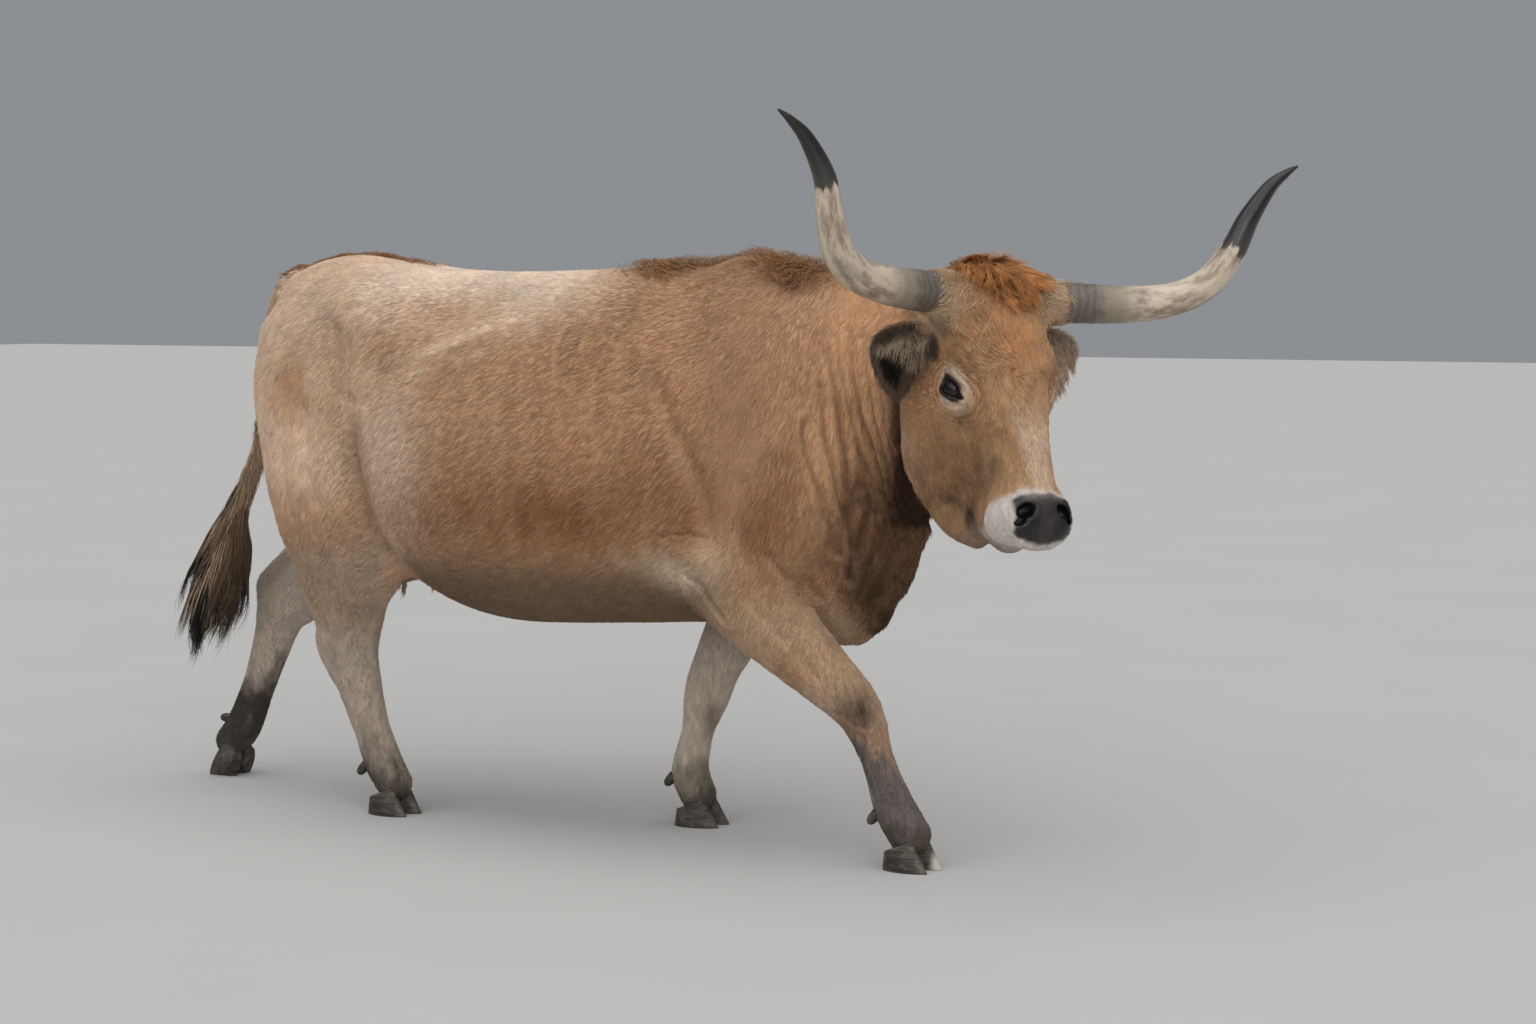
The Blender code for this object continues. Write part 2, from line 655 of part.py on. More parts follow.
def combine(thing, tool, operation, solver='EXACT'):
    cut = thing.modifiers.new("cut", 'BOOLEAN')
    cut.operation = operation
    cut.object = tool
    cut.solver = solver
    settle(thing)
    keep_largest(thing)


def inflated(thing, amount=GAP):
    """A copy grown along its vertex normals."""
    twin = copy_of(thing, "grown")
    bm = read_mesh(twin)
    bm.normal_update()
    moves = [v.normal * amount for v in bm.verts]
    for vert, move in zip(bm.verts, moves):
        vert.co += move
    write_mesh(bm, twin)
    return twin


def cut_by(thing, neighbour, solver='EXACT'):
    """Cuts a grown copy of the neighbour out of a node."""
    tool = inflated(neighbour)
    combine(thing, tool, 'DIFFERENCE', solver)
    remove(tool)


def half_of(thing, name, point, normal):
    """The part of a closed mesh on the side that the normal points to, half a gap short of the plane."""
    normal = unit(normal)
    twin = copy_of(thing, name)
    bm = read_mesh(twin)
    cut = bmesh.ops.bisect_plane(
        bm, geom=bm.verts[:] + bm.edges[:] + bm.faces[:], dist=1e-7,
        plane_co=Vector(np.asarray(point) + normal * GAP / 2), plane_no=Vector(normal), clear_inner=True)
    rim = [e for e in cut["geom_cut"] if isinstance(e, bmesh.types.BMEdge)]
    bmesh.ops.holes_fill(bm, edges=rim, sides=0)
    write_mesh(bm, twin)
    keep_largest(twin)
    return twin


def leg_block(name, x_span, inner, lean, top, rise, hand, grow=0.0):
    """Wedge round one leg: its top climbs with x by rise, its inner wall leans toward the middle going down."""
    x0, x1 = x_span[0] - grow, x_span[1] + grow
    middle = sum(x_span) / 2
    places = []
    for x in (x0, x1):
        for outside in (False, True):
            for high in (False, True):
                z = top + rise * (x - middle) + grow if high else -0.1
                wall = inner - lean * (top - z) - grow
                places.append((x, hand * (0.55 if outside else wall), z))
    faces = [(0, 1, 3, 2), (4, 6, 7, 5), (0, 4, 5, 1), (2, 3, 7, 6), (0, 2, 6, 4), (1, 5, 7, 3)]
    made = new_object(name, places, faces)
    keep_largest(made)
    return made


def tube(name, rows, sides):
    """Closed round tube through rows of x, y, z, radius."""
    rows = np.asarray(rows, float)
    p = rows[:, :3]
    ways = np.gradient(p, axis=0)
    frame_side = unit(np.cross(ways[0], (0, 0, 1)))
    places = []
    for k in range(len(p)):
        way = unit(ways[k])
        frame_side = unit(frame_side - way * np.dot(way, frame_side))
        frame_up = np.cross(way, frame_side)
        for s in range(sides):
            a = 2 * math.pi * s / sides
            places.append(p[k] + rows[k, 3] * (frame_side * math.cos(a) + frame_up * math.sin(a)))
    faces = []
    for k in range(len(p) - 1):
        for s in range(sides):
            n = (s + 1) % sides
            faces.append((k * sides + s, k * sides + n, (k + 1) * sides + n, (k + 1) * sides + s))
    faces.append(tuple(reversed(range(sides))))
    faces.append(tuple((len(p) - 1) * sides + s for s in range(sides)))
    return new_object(name, places, faces)


def ball(name, centre, radius, segments, rings):
    bm = bmesh.new()
    bmesh.ops.create_uvsphere(bm, u_segments=segments, v_segments=rings, radius=radius)
    bmesh.ops.translate(bm, verts=bm.verts, vec=Vector(centre))
    bmesh.ops.triangulate(bm, faces=bm.faces)
    mesh = bpy.data.meshes.new(name)
    made = bpy.data.objects.new(name, mesh)
    bpy.context.collection.objects.link(made)
    write_mesh(bm, made)
    return made


# Ear: leaf-shaped shell, cupped forward and hanging; by side its root in head terms and its way out and down
EAR_LENGTH = 0.155
EAR_BREADTH = 0.134
EAR_THICK = 0.010
EAR_BOW = 0.040
EAR_HANG = {
    -1: ((0.032, -0.087, 0.124), (0.42, 0.89, 0.00)),
    1: ((0.028, -0.085, 0.126), (0.50, 0.85, 0.05)),
}
EAR_ROWS = 7
EAR_COLUMNS = 8


def ear_place(t, s, hand):
    """Middle surface of an ear and its facing; t runs root to tip, s from edge to edge."""
    outward = HEAD_AXES[2] * hand
    (down, out, side), (swing_out, hang, ahead) = EAR_HANG[hand]
    root = at_head(down, out, side * hand)
    way = unit(outward * swing_out - HEAD_UP * hang + HEAD_AHEAD * ahead)
    opening = unit(HEAD_AHEAD * 0.85 + outward * 0.15)
    opening = unit(opening - way * np.dot(opening, way))
    across = np.cross(way, opening)
    bow = unit(outward - way * np.dot(outward, way)) * EAR_BOW
    half = EAR_BREADTH / 2 * math.sin(math.pi * (0.15 + 0.81 * t)) ** 0.7
    curl = 1.35 * (1 - t) + 0.35
    radius = half / curl
    middle = root + way * EAR_LENGTH * t + (bow - opening * 0.010) * math.sin(math.pi * t)
    place = middle + across * radius * math.sin(s * curl) + opening * radius * (1 - math.cos(s * curl))
    facing = opening * math.cos(s * curl) - across * math.sin(s * curl)
    return place, facing


def ear(name, hand):
    backs, fronts = [], []
    for i in range(EAR_ROWS):
        t = i / (EAR_ROWS - 1)
        for j in range(EAR_COLUMNS):
            s = -1 + 2 * j / (EAR_COLUMNS - 1)
            place, facing = ear_place(t, s, hand)
            thick = EAR_THICK * (1.0 - 0.45 * abs(s) ** 3) * (1.3 - 0.6 * t)
            backs.append(place - facing * thick / 2)
            fronts.append(place + facing * thick / 2)
    count = EAR_ROWS * EAR_COLUMNS
    faces = []
    for i in range(EAR_ROWS - 1):
        for j in range(EAR_COLUMNS - 1):
            a = i * EAR_COLUMNS + j
            b, d = a + 1, a + EAR_COLUMNS
            c = d + 1
            faces.append((a, b, c, d))
            faces.append((count + d, count + c, count + b, count + a))
    rim = list(range(EAR_COLUMNS))
    rim += [i * EAR_COLUMNS + EAR_COLUMNS - 1 for i in range(1, EAR_ROWS)]
    rim += [(EAR_ROWS - 1) * EAR_COLUMNS + j for j in range(EAR_COLUMNS - 2, -1, -1)]
    rim += [i * EAR_COLUMNS for i in range(EAR_ROWS - 2, 0, -1)]
    for k, a in enumerate(rim):
        b = rim[(k + 1) % len(rim)]
        faces.append((b, a, count + a, count + b))
    made = new_object(name, backs + fronts, faces)
    keep_largest(made)
    return made


# Claw: drop-shaped sole, walls rising to the hair line
CLAW_LENGTH = 0.118
CLAW_WIDTH = 0.053
CLAW_TOE_HEIGHT = 0.068
CLAW_HEEL_HEIGHT = 0.040
CLAW_SPLAY = 3.0
CLAW_WORN = 0.003
CLAW_SIDES = 13
DEWCLAW_SIDES = 6
CLAW_RINGS = 4


def claw(name, heel, heading, side_shift, hand, tip_down=0.0, flat=0.0):
    """One claw; hand is the side of the foot it is on, tip_down turns it toe first."""
    places = []
    for ring in range(CLAW_RINGS):
        t = ring / (CLAW_RINGS - 1)
        length = CLAW_LENGTH * (1 - 0.40 * t)
        width = CLAW_WIDTH * (1 - 0.10 * t + 0.10 * math.sin(math.pi * t))
        for s in range(CLAW_SIDES):
            a = 2 * math.pi * s / CLAW_SIDES
            along = 0.5 + 0.5 * math.cos(a)
            x = length * along + 0.006 * t
            y = width * 0.5 * math.sin(a) * (1 - 0.30 * along ** 2) - hand * 0.006 * along ** 2
            z = (CLAW_HEEL_HEIGHT + (CLAW_TOE_HEIGHT - CLAW_HEEL_HEIGHT) * along) * t
            places.append(np.array((x, y + side_shift, z)))
    faces = []
    for ring in range(CLAW_RINGS - 1):
        for s in range(CLAW_SIDES):
            n = (s + 1) % CLAW_SIDES
            a = ring * CLAW_SIDES
            b = a + CLAW_SIDES
            faces.append((a + s, a + n, b + n, b + s))
    faces.append(tuple(reversed(range(CLAW_SIDES))))
    faces.append(tuple((CLAW_RINGS - 1) * CLAW_SIDES + s for s in range(CLAW_SIDES)))
    pitch = Matrix.Rotation(math.radians(tip_down), 3, 'Y')
    yaw = Matrix.Rotation(math.radians(heading), 3, 'Z')
    splay = Matrix.Rotation(math.radians(CLAW_SPLAY * hand), 3, 'Z')
    turned = [np.array(heel) + np.array(yaw @ pitch @ splay @ Vector(p)) for p in places]
    made = new_object(name, turned, faces)
    keep_largest(made)
    if tip_down:
        lowest = min(v.co.z for v in made.data.vertices)
        made.data.transform(Matrix.Translation((0, 0, -lowest - flat)))
        whole = made
        made = half_of(whole, name + "_cut", (0, 0, -GAP / 2), (0, 0, 1))
        remove(whole)
        made.name = name
        made.data.name = name
    return made


def dewclaw(name, place, way):
    way = unit(way)
    rows = [(*(np.array(place) + way * s), r) for s, r in ((-0.016, 0.012), (0.010, 0.012), (0.026, 0.005))]
    made = tube(name, rows, DEWCLAW_SIDES)
    keep_largest(made)
    return made


# Feet: name, heel point, heading, toe-down turn, half spread, dewclaw place and way
FEET = (
    ("fore_right", (0.940, -0.110, 0.0), -8.0, 0.0, 0.0295, (0.905, -0.110, 0.112), (-0.75, 0, -0.66)),
    ("fore_left", (0.242, 0.120, 0.0), 4.0, 0.0, 0.0285, (0.225, 0.120, 0.108), (-0.75, 0, -0.66)),
    ("hind_right", (-0.497, -0.120, 0.0), -4.0, 0.0, 0.0280, (-0.524, -0.120, 0.108), (-0.75, 0, -0.66)),
    ("hind_left", (-1.172, 0.140, 0.0), 3.0, 122.0, 0.0270, (-1.178, 0.140, 0.155), (-0.95, 0, 0.20)),
)

# Locks: forelock rows of station, count, half span, length and lift, then the switch's rows of
# distance below the tail's end, count, outward lean and length
LOCK_RINGS = 4
LOCK_SINK = 0.018
LOCK_DEPTH = 0.004
FORELOCK_SEED = 11
FORELOCK_ABOVE = 0.25
FORELOCK_FAN = 1.0
FORELOCK_WIDTH = 0.029
FORELOCK_ROWS = (
    (-0.064, 4, 0.070, 0.060, 0.95),
    (-0.042, 6, 0.096, 0.064, 0.72),
    (-0.014, 6, 0.098, 0.062, 0.60),
    (0.014, 5, 0.076, 0.054, 0.50),
    (0.036, 3, 0.044, 0.040, 0.42),
)
SWITCH_SEED = 5
SWITCH_NARROW = 0.6
SWITCH_SWEEP = -0.20
SWITCH_CORE = 0.034
SWITCH_WIDTH = 0.042
SWITCH_ROWS = (
    (0.024, 5, 0.22, 0.240),
    (0.062, 6, 0.30, 0.262),
    (0.100, 5, 0.20, 0.252),
    (0.130, 2, 0.05, 0.232),
)

UDDER = (
    ((-0.560, 0.000, 0.640), (0.130, 0.095, 0.085)),
    ((-0.490, 0.000, 0.640), (0.090, 0.085, 0.070)),
)
TEATS = ((-0.455, -0.060), (-0.455, 0.060), (-0.555, -0.055), (-0.555, 0.055))
TEAT_TOP = 0.600
TEAT_DROP = 0.058

TAIL = (
    (-0.800, 0.000, 1.318, 0.042, 0.040),
    (-0.850, 0.000, 1.300, 0.037, 0.036),
    (-0.893, 0.000, 1.235, 0.031, 0.031),
    (-0.918, 0.000, 1.120, 0.027, 0.027),
    (-0.934, 0.000, 0.990, 0.025, 0.025),
    (-0.958, 0.000, 0.880, 0.025, 0.024),
    (-1.002, 0.000, 0.790, 0.026, 0.025),
    (-1.040, 0.000, 0.720, 0.029, 0.027),
)
TAIL_END = (-1.062, 0.000, 0.660)
TAIL_WAY = (-0.28, 0.0, -0.96)


def whole_field(lo, hi, step, with_carvings):
    field = Field(lo, hi, step)
    for shape, blend in trunk_shapes() + leg_shapes() + head_shapes():
        field.add(shape, blend)
    for fold in FOLDS:
        field.press(*fold, -1)
        field.press(*fold, 1)
    field.press(*JAW_FOLD, -1)
    if with_carvings:
        for shape, blend in head_carvings():
            field.carve(shape, blend)
    return field


def field_object(name, field, triangles):
    made = new_object(name, *surface_net(field))
    keep_largest(made)
    thin_out(made, triangles)
    return made


def lock(root, way, side, length, width, bend, rings, sink):
    """Flat tapered lock of hair: four-sided rings along a bent line, closed at the tip."""
    way, side = unit(way), unit(side)
    thick_way = unit(np.cross(way, side))
    places, faces = [], []
    for k in range(rings):
        t = k / (rings - 1)
        along = -sink + (length + sink) * t
        centre = np.asarray(root) + way * along + np.asarray(bend) * max(along, 0) ** 2 / length
        half = width / 2 * (0.75 + 0.6 * t - 1.15 * t * t)
        deep = half * 0.38
        side_k = unit(side + np.asarray(bend) * 0.2 * t)
        for a, b in ((1, 0), (0, 1), (-1, 0), (0, -1)):
            places.append(centre + side_k * half * a + thick_way * deep * b)
    tip = len(places)
    places.append(np.asarray(root) + way * (length * 1.10) + np.asarray(bend) * length * 1.21)
    for k in range(rings - 1):
        for c in range(4):
            n = (c + 1) % 4
            a, b = k * 4, (k + 1) * 4
            faces.append((a + c, a + n, b + n, b + c))
    last = (rings - 1) * 4
    for c in range(4):
        faces.append((last + c, last + (c + 1) % 4, tip))
    faces.append((3, 2, 1, 0))
    return places, faces


def forelock(skull_surface):
    """Curly locks between the horns, fanning down the forehead and over the horn roots."""
    draw = random.Random(FORELOCK_SEED)
    locks = []
    for station, count, span, length, lift in FORELOCK_ROWS:
        for k in range(count):
            side = span * ((2 * k + 1) / count - 1) + draw.uniform(-0.005, 0.005)
            above = at_head(station + draw.uniform(-0.006, 0.006), FORELOCK_ABOVE, side)
            hit, normal, _, _ = skull_surface.ray_cast(Vector(above), Vector(-HEAD_AXES[1]))
            if hit is None:
                continue
            normal = np.array(normal)
            turn = side / span * FORELOCK_FAN + draw.uniform(-0.30, 0.30)
            flow = HEAD_AXES[0] * math.cos(turn) + HEAD_AXES[2] * math.sin(turn)
            flow = unit(flow - normal * np.dot(normal, flow))
            across = np.cross(normal, flow)
            bend = across * draw.uniform(-0.30, 0.30) - normal * (lift - 0.12)
            locks.append(lock(
                np.array(hit) - normal * LOCK_DEPTH, unit(flow + normal * lift), across,
                length * draw.uniform(0.85, 1.15), FORELOCK_WIDTH * draw.uniform(0.85, 1.20),
                bend, LOCK_RINGS, LOCK_SINK))
    return locks


def switch_locks():
    """Long locks round the core of the tail's switch, spreading and sweeping back."""
    draw = random.Random(SWITCH_SEED)
    way = unit(TAIL_WAY)
    back = unit(np.cross(way, SIDEWAYS))
    locks = []
    for start, count, spread_out, length in SWITCH_ROWS:
        for k in range(count):
            angle = 2 * math.pi * (k + draw.uniform(0.2, 0.8)) / count
            radial = back * math.cos(angle) + np.array(SIDEWAYS) * math.sin(angle) * SWITCH_NARROW
            across = unit(np.cross(way, radial))
            root = np.array(TAIL_END) + way * start + radial * SWITCH_CORE * 0.5
            bend = radial * draw.uniform(-0.14, -0.02) + np.array((SWITCH_SWEEP, 0, 0)) * draw.uniform(-0.4, 1.0)
            locks.append(lock(
                root, unit(way + radial * spread_out), across, length * draw.uniform(0.88, 1.12),
                SWITCH_WIDTH * draw.uniform(0.85, 1.15), bend, LOCK_RINGS, LOCK_SINK))
    return locks


def fuse_locks(thing, locks, solver='EXACT'):
    """Unions every lock with the node in one Boolean."""
    group = bpy.data.collections.new("locks")
    bpy.context.scene.collection.children.link(group)
    made = []
    for k, (places, faces) in enumerate(locks):
        one = new_object("lock%03d" % k, places, faces)
        bpy.context.collection.objects.unlink(one)
        group.objects.link(one)
        bm = read_mesh(one)
        bmesh.ops.recalc_face_normals(bm, faces=bm.faces)
        bmesh.ops.triangulate(bm, faces=bm.faces)
        write_mesh(bm, one)
        made.append(one)
    join = thing.modifiers.new("join", 'BOOLEAN')
    join.operation = 'UNION'
    join.operand_type = 'COLLECTION'
    join.collection = group
    join.solver = solver
    settle(thing)
    for one in made:
        remove(one)
    bpy.data.collections.remove(group)
    keep_largest(thing)


def split(thing, low_name, high_name, point, normal):
    """Parts a node in two along a plane; the normal points into the second."""
    high = half_of(thing, high_name, point, normal)
    low = half_of(thing, low_name, point, -np.asarray(normal, float))
    remove(thing)
    return low, high


def take_leg(thing, name, *sizes):
    """Takes one leg out of the trunk, leaving the gap all round."""
    tool = leg_block("tool", *sizes)
    piece = copy_of(thing, name)
    combine(piece, tool, 'INTERSECT')
    grown = leg_block("grown", *sizes, grow=GAP * 1.1)
    combine(thing, grown, 'DIFFERENCE')
    remove(tool)
    remove(grown)
    return piece


def paint(thing, name, colour, rough):
    slot = bpy.data.materials.new(name)
    slot.use_nodes = True
    shader = slot.node_tree.nodes["Principled BSDF"]
    shader.inputs["Base Color"].default_value = (*colour, 1.0)
    shader.inputs["Roughness"].default_value = rough
    thing.data.materials.clear()
    thing.data.materials.append(slot)


COLOURS = {
    "coat": ((0.45, 0.26, 0.13), 0.85),
    "leg": ((0.38, 0.30, 0.22), 0.85),
    "ear": ((0.16, 0.10, 0.06), 0.85),
    "horn": ((0.62, 0.56, 0.42), 0.45),
    "claw": ((0.06, 0.055, 0.05), 0.55),
    "eye": ((0.012, 0.008, 0.006), 0.08),
    "udder": ((0.50, 0.33, 0.24), 0.70),
    "tail": ((0.05, 0.035, 0.025), 0.85),
}

nodes = {}

# Flesh: body and head from one field, the head on a finer grid, parted behind the jaw
NECK_CUT = at_head(0.130, -0.215, 0.0)
NECK_WAY = unit(HEAD_AXES[1] * 0.93 + HEAD_AXES[0] * 0.37)
body = field_object("body", whole_field((-1.32, -0.50, 0.0), (1.30, 0.50, 1.50), BODY_STEP, False), BODY_TRIANGLES)
skull = field_object("skull", whole_field((0.90, -0.50, 0.60), (1.60, 0.15, 1.46), HEAD_STEP, True), HEAD_TRIANGLES)
trunk = half_of(body, "trunk", NECK_CUT, -NECK_WAY)
head = half_of(skull, "head", NECK_CUT, NECK_WAY)

# Udder and teats, met by the body
udder_field = Field((-0.75, -0.15, 0.50), (-0.35, 0.15, 0.76), 0.008)
for centre, radii in UDDER:
    udder_field.add(egg(centre, radii), 0.03)
for x, y in TEATS:
    udder_field.add(limb((
        (x, y, TEAT_TOP, 0.014, 0.014),
        (x, y, TEAT_TOP - TEAT_DROP / 2, 0.0115, 0.0115),
        (x, y, TEAT_TOP - TEAT_DROP, 0.0095, 0.0095),
    ), SIDEWAYS), 0.012)
nodes["udder"] = field_object("udder", udder_field, 300)
cut_by(nodes["udder"], body)

# Tail core, parted where the switch begins
tail_field = Field((-1.24, -0.08, 0.29), (-0.74, 0.08, 1.38), 0.007)
tail_field.add(limb(TAIL + (
    (*TAIL_END, SWITCH_CORE, SWITCH_CORE * 0.9),
    (-1.092, 0.000, 0.570, 0.036, 0.032),
    (-1.112, 0.000, 0.500, 0.018, 0.016),
), SIDEWAYS), 0.01)
tail = field_object("tail", tail_field, 400)
cut_by(tail, body)
nodes["tail_dock"] = half_of(tail, "tail_dock", TAIL_END, -np.array(TAIL_WAY))
switch = half_of(tail, "switch", TAIL_END, TAIL_WAY)
fuse_locks(switch, switch_locks(), 'MANIFOLD')
nodes["tail_switch"] = half_of(switch, "tail_switch", TAIL_END, TAIL_WAY)
remove(switch)
remove(tail)
remove(body)
remove(skull)

# Forelock, fused into the head
poll = read_mesh(head)
skull_surface = BVHTree.FromBMesh(poll)
poll.free()
fuse_locks(head, forelock(skull_surface), 'MANIFOLD')

# Horns, ears and eyes, met by the head
for side, hand in (("right", -1), ("left", 1)):
    rows = smooth_curve([(*at_horn(*row[:3], hand), row[3]) for row in HORN], 2)
    horn = tube("horn_" + side, rows, HORN_SIDES)
    keep_largest(horn)
    nodes["horn_" + side] = horn
    cut_by(horn, head)
    nodes["ear_" + side] = ear("ear_" + side, hand)
    cut_by(nodes["ear_" + side], head)
    nodes["eye_" + side] = ball("eye_" + side, at_head(EYE_STATION, EYE_LEVEL, EYE_SIDE * hand), EYE_RADIUS, 12, 7)
    cut_by(head, nodes["eye_" + side])
nodes["head"] = head

# Legs from boxes, each parted below the knee or hock
right_fore = take_leg(trunk, "right_fore", (0.455, 1.20), 0.130, 0.45, 0.585, 0.10, -1)
left_fore = take_leg(trunk, "left_fore", (0.16, 0.60), 0.110, 0.50, 0.540, 0.00, 1)
right_hind = take_leg(trunk, "right_hind", (-0.86, -0.34), 0.065, 0.00, 0.640, -0.42, -1)
left_hind = take_leg(trunk, "left_hind", (-1.40, -0.46), 0.065, 0.00, 0.690, -0.24, 1)
for leg, label, place, way in (
    (right_fore, "foreleg_right", (0.885, -0.11, 0.285), (0.36, 0, -0.93)),
    (left_fore, "foreleg_left", (0.300, 0.12, 0.258), (-0.25, 0, -0.97)),
    (right_hind, "hindleg_right", (-0.555, -0.12, 0.325), (0.33, 0, -0.94)),
    (left_hind, "hindleg_left", (-1.040, 0.14, 0.370), (-0.40, 0, -0.92)),
):
    upper, lower = split(leg, label + "_upper", label + "_lower", place, way)
    nodes[label + "_upper"] = upper
    nodes[label + "_lower"] = lower

# Claws and dewclaws, met by the pasterns
for label, heel, heading, tip_down, spread_half, dew_place, dew_way in FEET:
    leg = nodes["%sleg_%s_lower" % tuple(label.split("_"))]
    for place_name, hand in (("outer", -1 if "right" in label else 1), ("inner", 1 if "right" in label else -1)):
        name = "claw_%s_%s" % (label, place_name)
        nodes[name] = claw(name, heel, heading, spread_half * hand, hand, tip_down, CLAW_WORN)
        cut_by(leg, nodes[name])
        dew = "dewclaw_%s_%s" % (label, place_name)
        spot = np.array(dew_place) + np.array((0, 0.024 * hand, 0))
        nodes[dew] = dewclaw(dew, spot, np.array(dew_way) + np.array((0, 0.25 * hand, 0)))
        cut_by(nodes[dew], leg)

# Trunk parted into neck, chest, barrel and hindquarters
rest, nodes["neck"] = split(trunk, "rest", "neck", (0.74, 0, 1.05), (0.909, 0, 0.417))
rest2, nodes["chest"] = split(rest, "rest2", "chest", (0.240, 0, 0.9), (1, 0, 0))
nodes["hindquarters"], nodes["barrel"] = split(rest2, "hindquarters", "barrel", (-0.330, 0, 0.9), (1, 0, 0))

# Names, colours and the shift that puts the middle of the base at the origin
for name, thing in nodes.items():
    thing.name = name
    thing.data.name = name
    kind = name.split("_")[0]
    kind = {"dewclaw": "claw", "foreleg": "leg", "hindleg": "leg", "tail": name.split("_")[-1]}.get(kind, kind)
    kind = {"dock": "coat", "switch": "tail"}.get(kind, kind)
    colour, rough = COLOURS.get(kind, COLOURS["coat"])
    paint(thing, name + "_finish", colour, rough)

corners = [(min(v.co[k] for v in t.data.vertices), max(v.co[k] for v in t.data.vertices))
           for t in nodes.values() for k in range(3)]
low = [min(c[0] for c in corners[k::3]) for k in range(3)]
high = [max(c[1] for c in corners[k::3]) for k in range(3)]
SHIFT = (-(low[0] + high[0]) / 2, -(low[1] + high[1]) / 2, -low[2])
for thing in nodes.values():
    thing.data.transform(Matrix.Translation(SHIFT))
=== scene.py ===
import math

import bmesh
import bpy
import numpy as np
from mathutils import Matrix, Vector


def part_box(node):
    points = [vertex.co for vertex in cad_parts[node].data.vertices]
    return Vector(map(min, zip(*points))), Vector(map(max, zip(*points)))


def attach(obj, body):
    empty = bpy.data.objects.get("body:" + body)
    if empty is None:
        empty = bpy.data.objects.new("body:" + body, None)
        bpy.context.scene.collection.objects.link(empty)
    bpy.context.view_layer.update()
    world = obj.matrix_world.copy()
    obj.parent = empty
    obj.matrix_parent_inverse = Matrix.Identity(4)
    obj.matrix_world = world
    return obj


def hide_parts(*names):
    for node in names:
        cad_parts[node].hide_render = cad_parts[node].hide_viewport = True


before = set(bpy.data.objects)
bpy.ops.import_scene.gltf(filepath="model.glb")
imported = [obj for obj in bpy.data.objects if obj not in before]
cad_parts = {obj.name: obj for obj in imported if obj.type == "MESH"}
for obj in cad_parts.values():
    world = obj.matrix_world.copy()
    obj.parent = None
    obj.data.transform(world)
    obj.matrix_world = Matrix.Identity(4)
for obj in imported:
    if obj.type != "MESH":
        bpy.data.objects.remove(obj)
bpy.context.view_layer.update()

COARSE = 0.0098
FINE = 0.0043
TUFT_SHARE = 1.0

# Sizes shared with the solids
TRUNK = (
    (-0.87, 1.25, 1.03, 0.05, 1.14, 2.0, 2.0),
    (-0.82, 1.325, 0.9, 0.125, 1.13, 2.1, 2.0),
    (-0.74, 1.364, 0.78, 0.18, 1.13, 2.2, 2.0),
    (-0.62, 1.384, 0.69, 0.225, 1.12, 2.3, 2.0),
    (-0.5, 1.374, 0.63, 0.262, 1.06, 2.4, 2.0),
    (-0.38, 1.354, 0.562, 0.305, 0.96, 2.3, 2.1),
    (-0.24, 1.344, 0.512, 0.342, 0.89, 2.1, 2.2),
    (-0.1, 1.341, 0.489, 0.366, 0.86, 2.0, 2.2),
    (0.06, 1.344, 0.492, 0.366, 0.86, 1.95, 2.2),
    (0.22, 1.35, 0.5, 0.338, 0.87, 1.9, 2.1),
    (0.38, 1.353, 0.51, 0.285, 0.88, 1.8, 2.0),
    (0.54, 1.35, 0.52, 0.235, 0.89, 1.7, 2.0),
    (0.7, 1.3, 0.51, 0.2, 0.88, 1.8, 1.9),
    (0.84, 1.18, 0.56, 0.13, 0.86, 2.0, 2.0),
)
HEAD_ORIGIN = np.array((1.207, -0.167, 1.273))
HEAD_YAW = -33.0
HEAD_PITCH = 61.5
HEAD_ROLL = 4.0
HEAD_SIZE = 1.025
SKULL = (
    (-0.075, 0.02, -0.045, 0.05, -0.01, 2.2, 2.0),
    (-0.045, 0.044, -0.085, 0.105, -0.02, 2.4, 2.2),
    (0.0, 0.058, -0.125, 0.124, -0.03, 2.6, 2.2),
    (0.07, 0.066, -0.17, 0.118, -0.04, 2.6, 2.3),
    (0.14, 0.068, -0.23, 0.112, -0.06, 2.5, 2.4),
    (0.21, 0.064, -0.28, 0.104, -0.09, 2.3, 2.5),
    (0.28, 0.056, -0.285, 0.094, -0.1, 2.2, 2.6),
    (0.35, 0.046, -0.268, 0.08, -0.09, 2.2, 2.4),
    (0.425, 0.038, -0.226, 0.074, -0.07, 2.2, 2.2),
    (0.48, 0.037, -0.17, 0.082, -0.048, 2.3, 2.1),
    (0.522, 0.027, -0.104, 0.079, -0.034, 2.4, 2.2),
    (0.548, 0.012, -0.06, 0.062, -0.026, 2.3, 2.0),
    (0.566, -0.008, -0.034, 0.028, -0.022, 2.0, 2.0),
)
EYE_STATION = 0.195
EYE_LEVEL = -0.048
EYE_SIDE = 0.108
EYE_RADIUS = 0.026
EYE_CORNERS = ((0.03, 0.008, (0.017, 0.011, 0.0065)), (-0.024, 0.009, (0.01, 0.009, 0.0065)))
LID = 0.0055
COLLAR = (
    (0.07, 0.0, 0.0, 0.058),
    (0.115, 0.004, 0.0, 0.055),
    (0.148, 0.014, 0.003, 0.051),
    (0.166, 0.02, 0.005, 0.045),
)
HORN = (
    (0.105, 0.002, 0.0, 0.046),
    (0.171, 0.022, 0.005, 0.045),
    (0.288, 0.065, 0.009, 0.0415),
    (0.39, 0.107, 0.026, 0.0375),
    (0.459, 0.143, 0.068, 0.034),
    (0.498, 0.172, 0.138, 0.0295),
    (0.525, 0.188, 0.213, 0.024),
    (0.572, 0.192, 0.284, 0.0165),
    (0.612, 0.194, 0.318, 0.0095),
    (0.641, 0.194, 0.336, 0.003),
)
SIDEWAYS = (0.0, 1.0, 0.0)
UP = np.array((0.0, 0.0, 1.0))


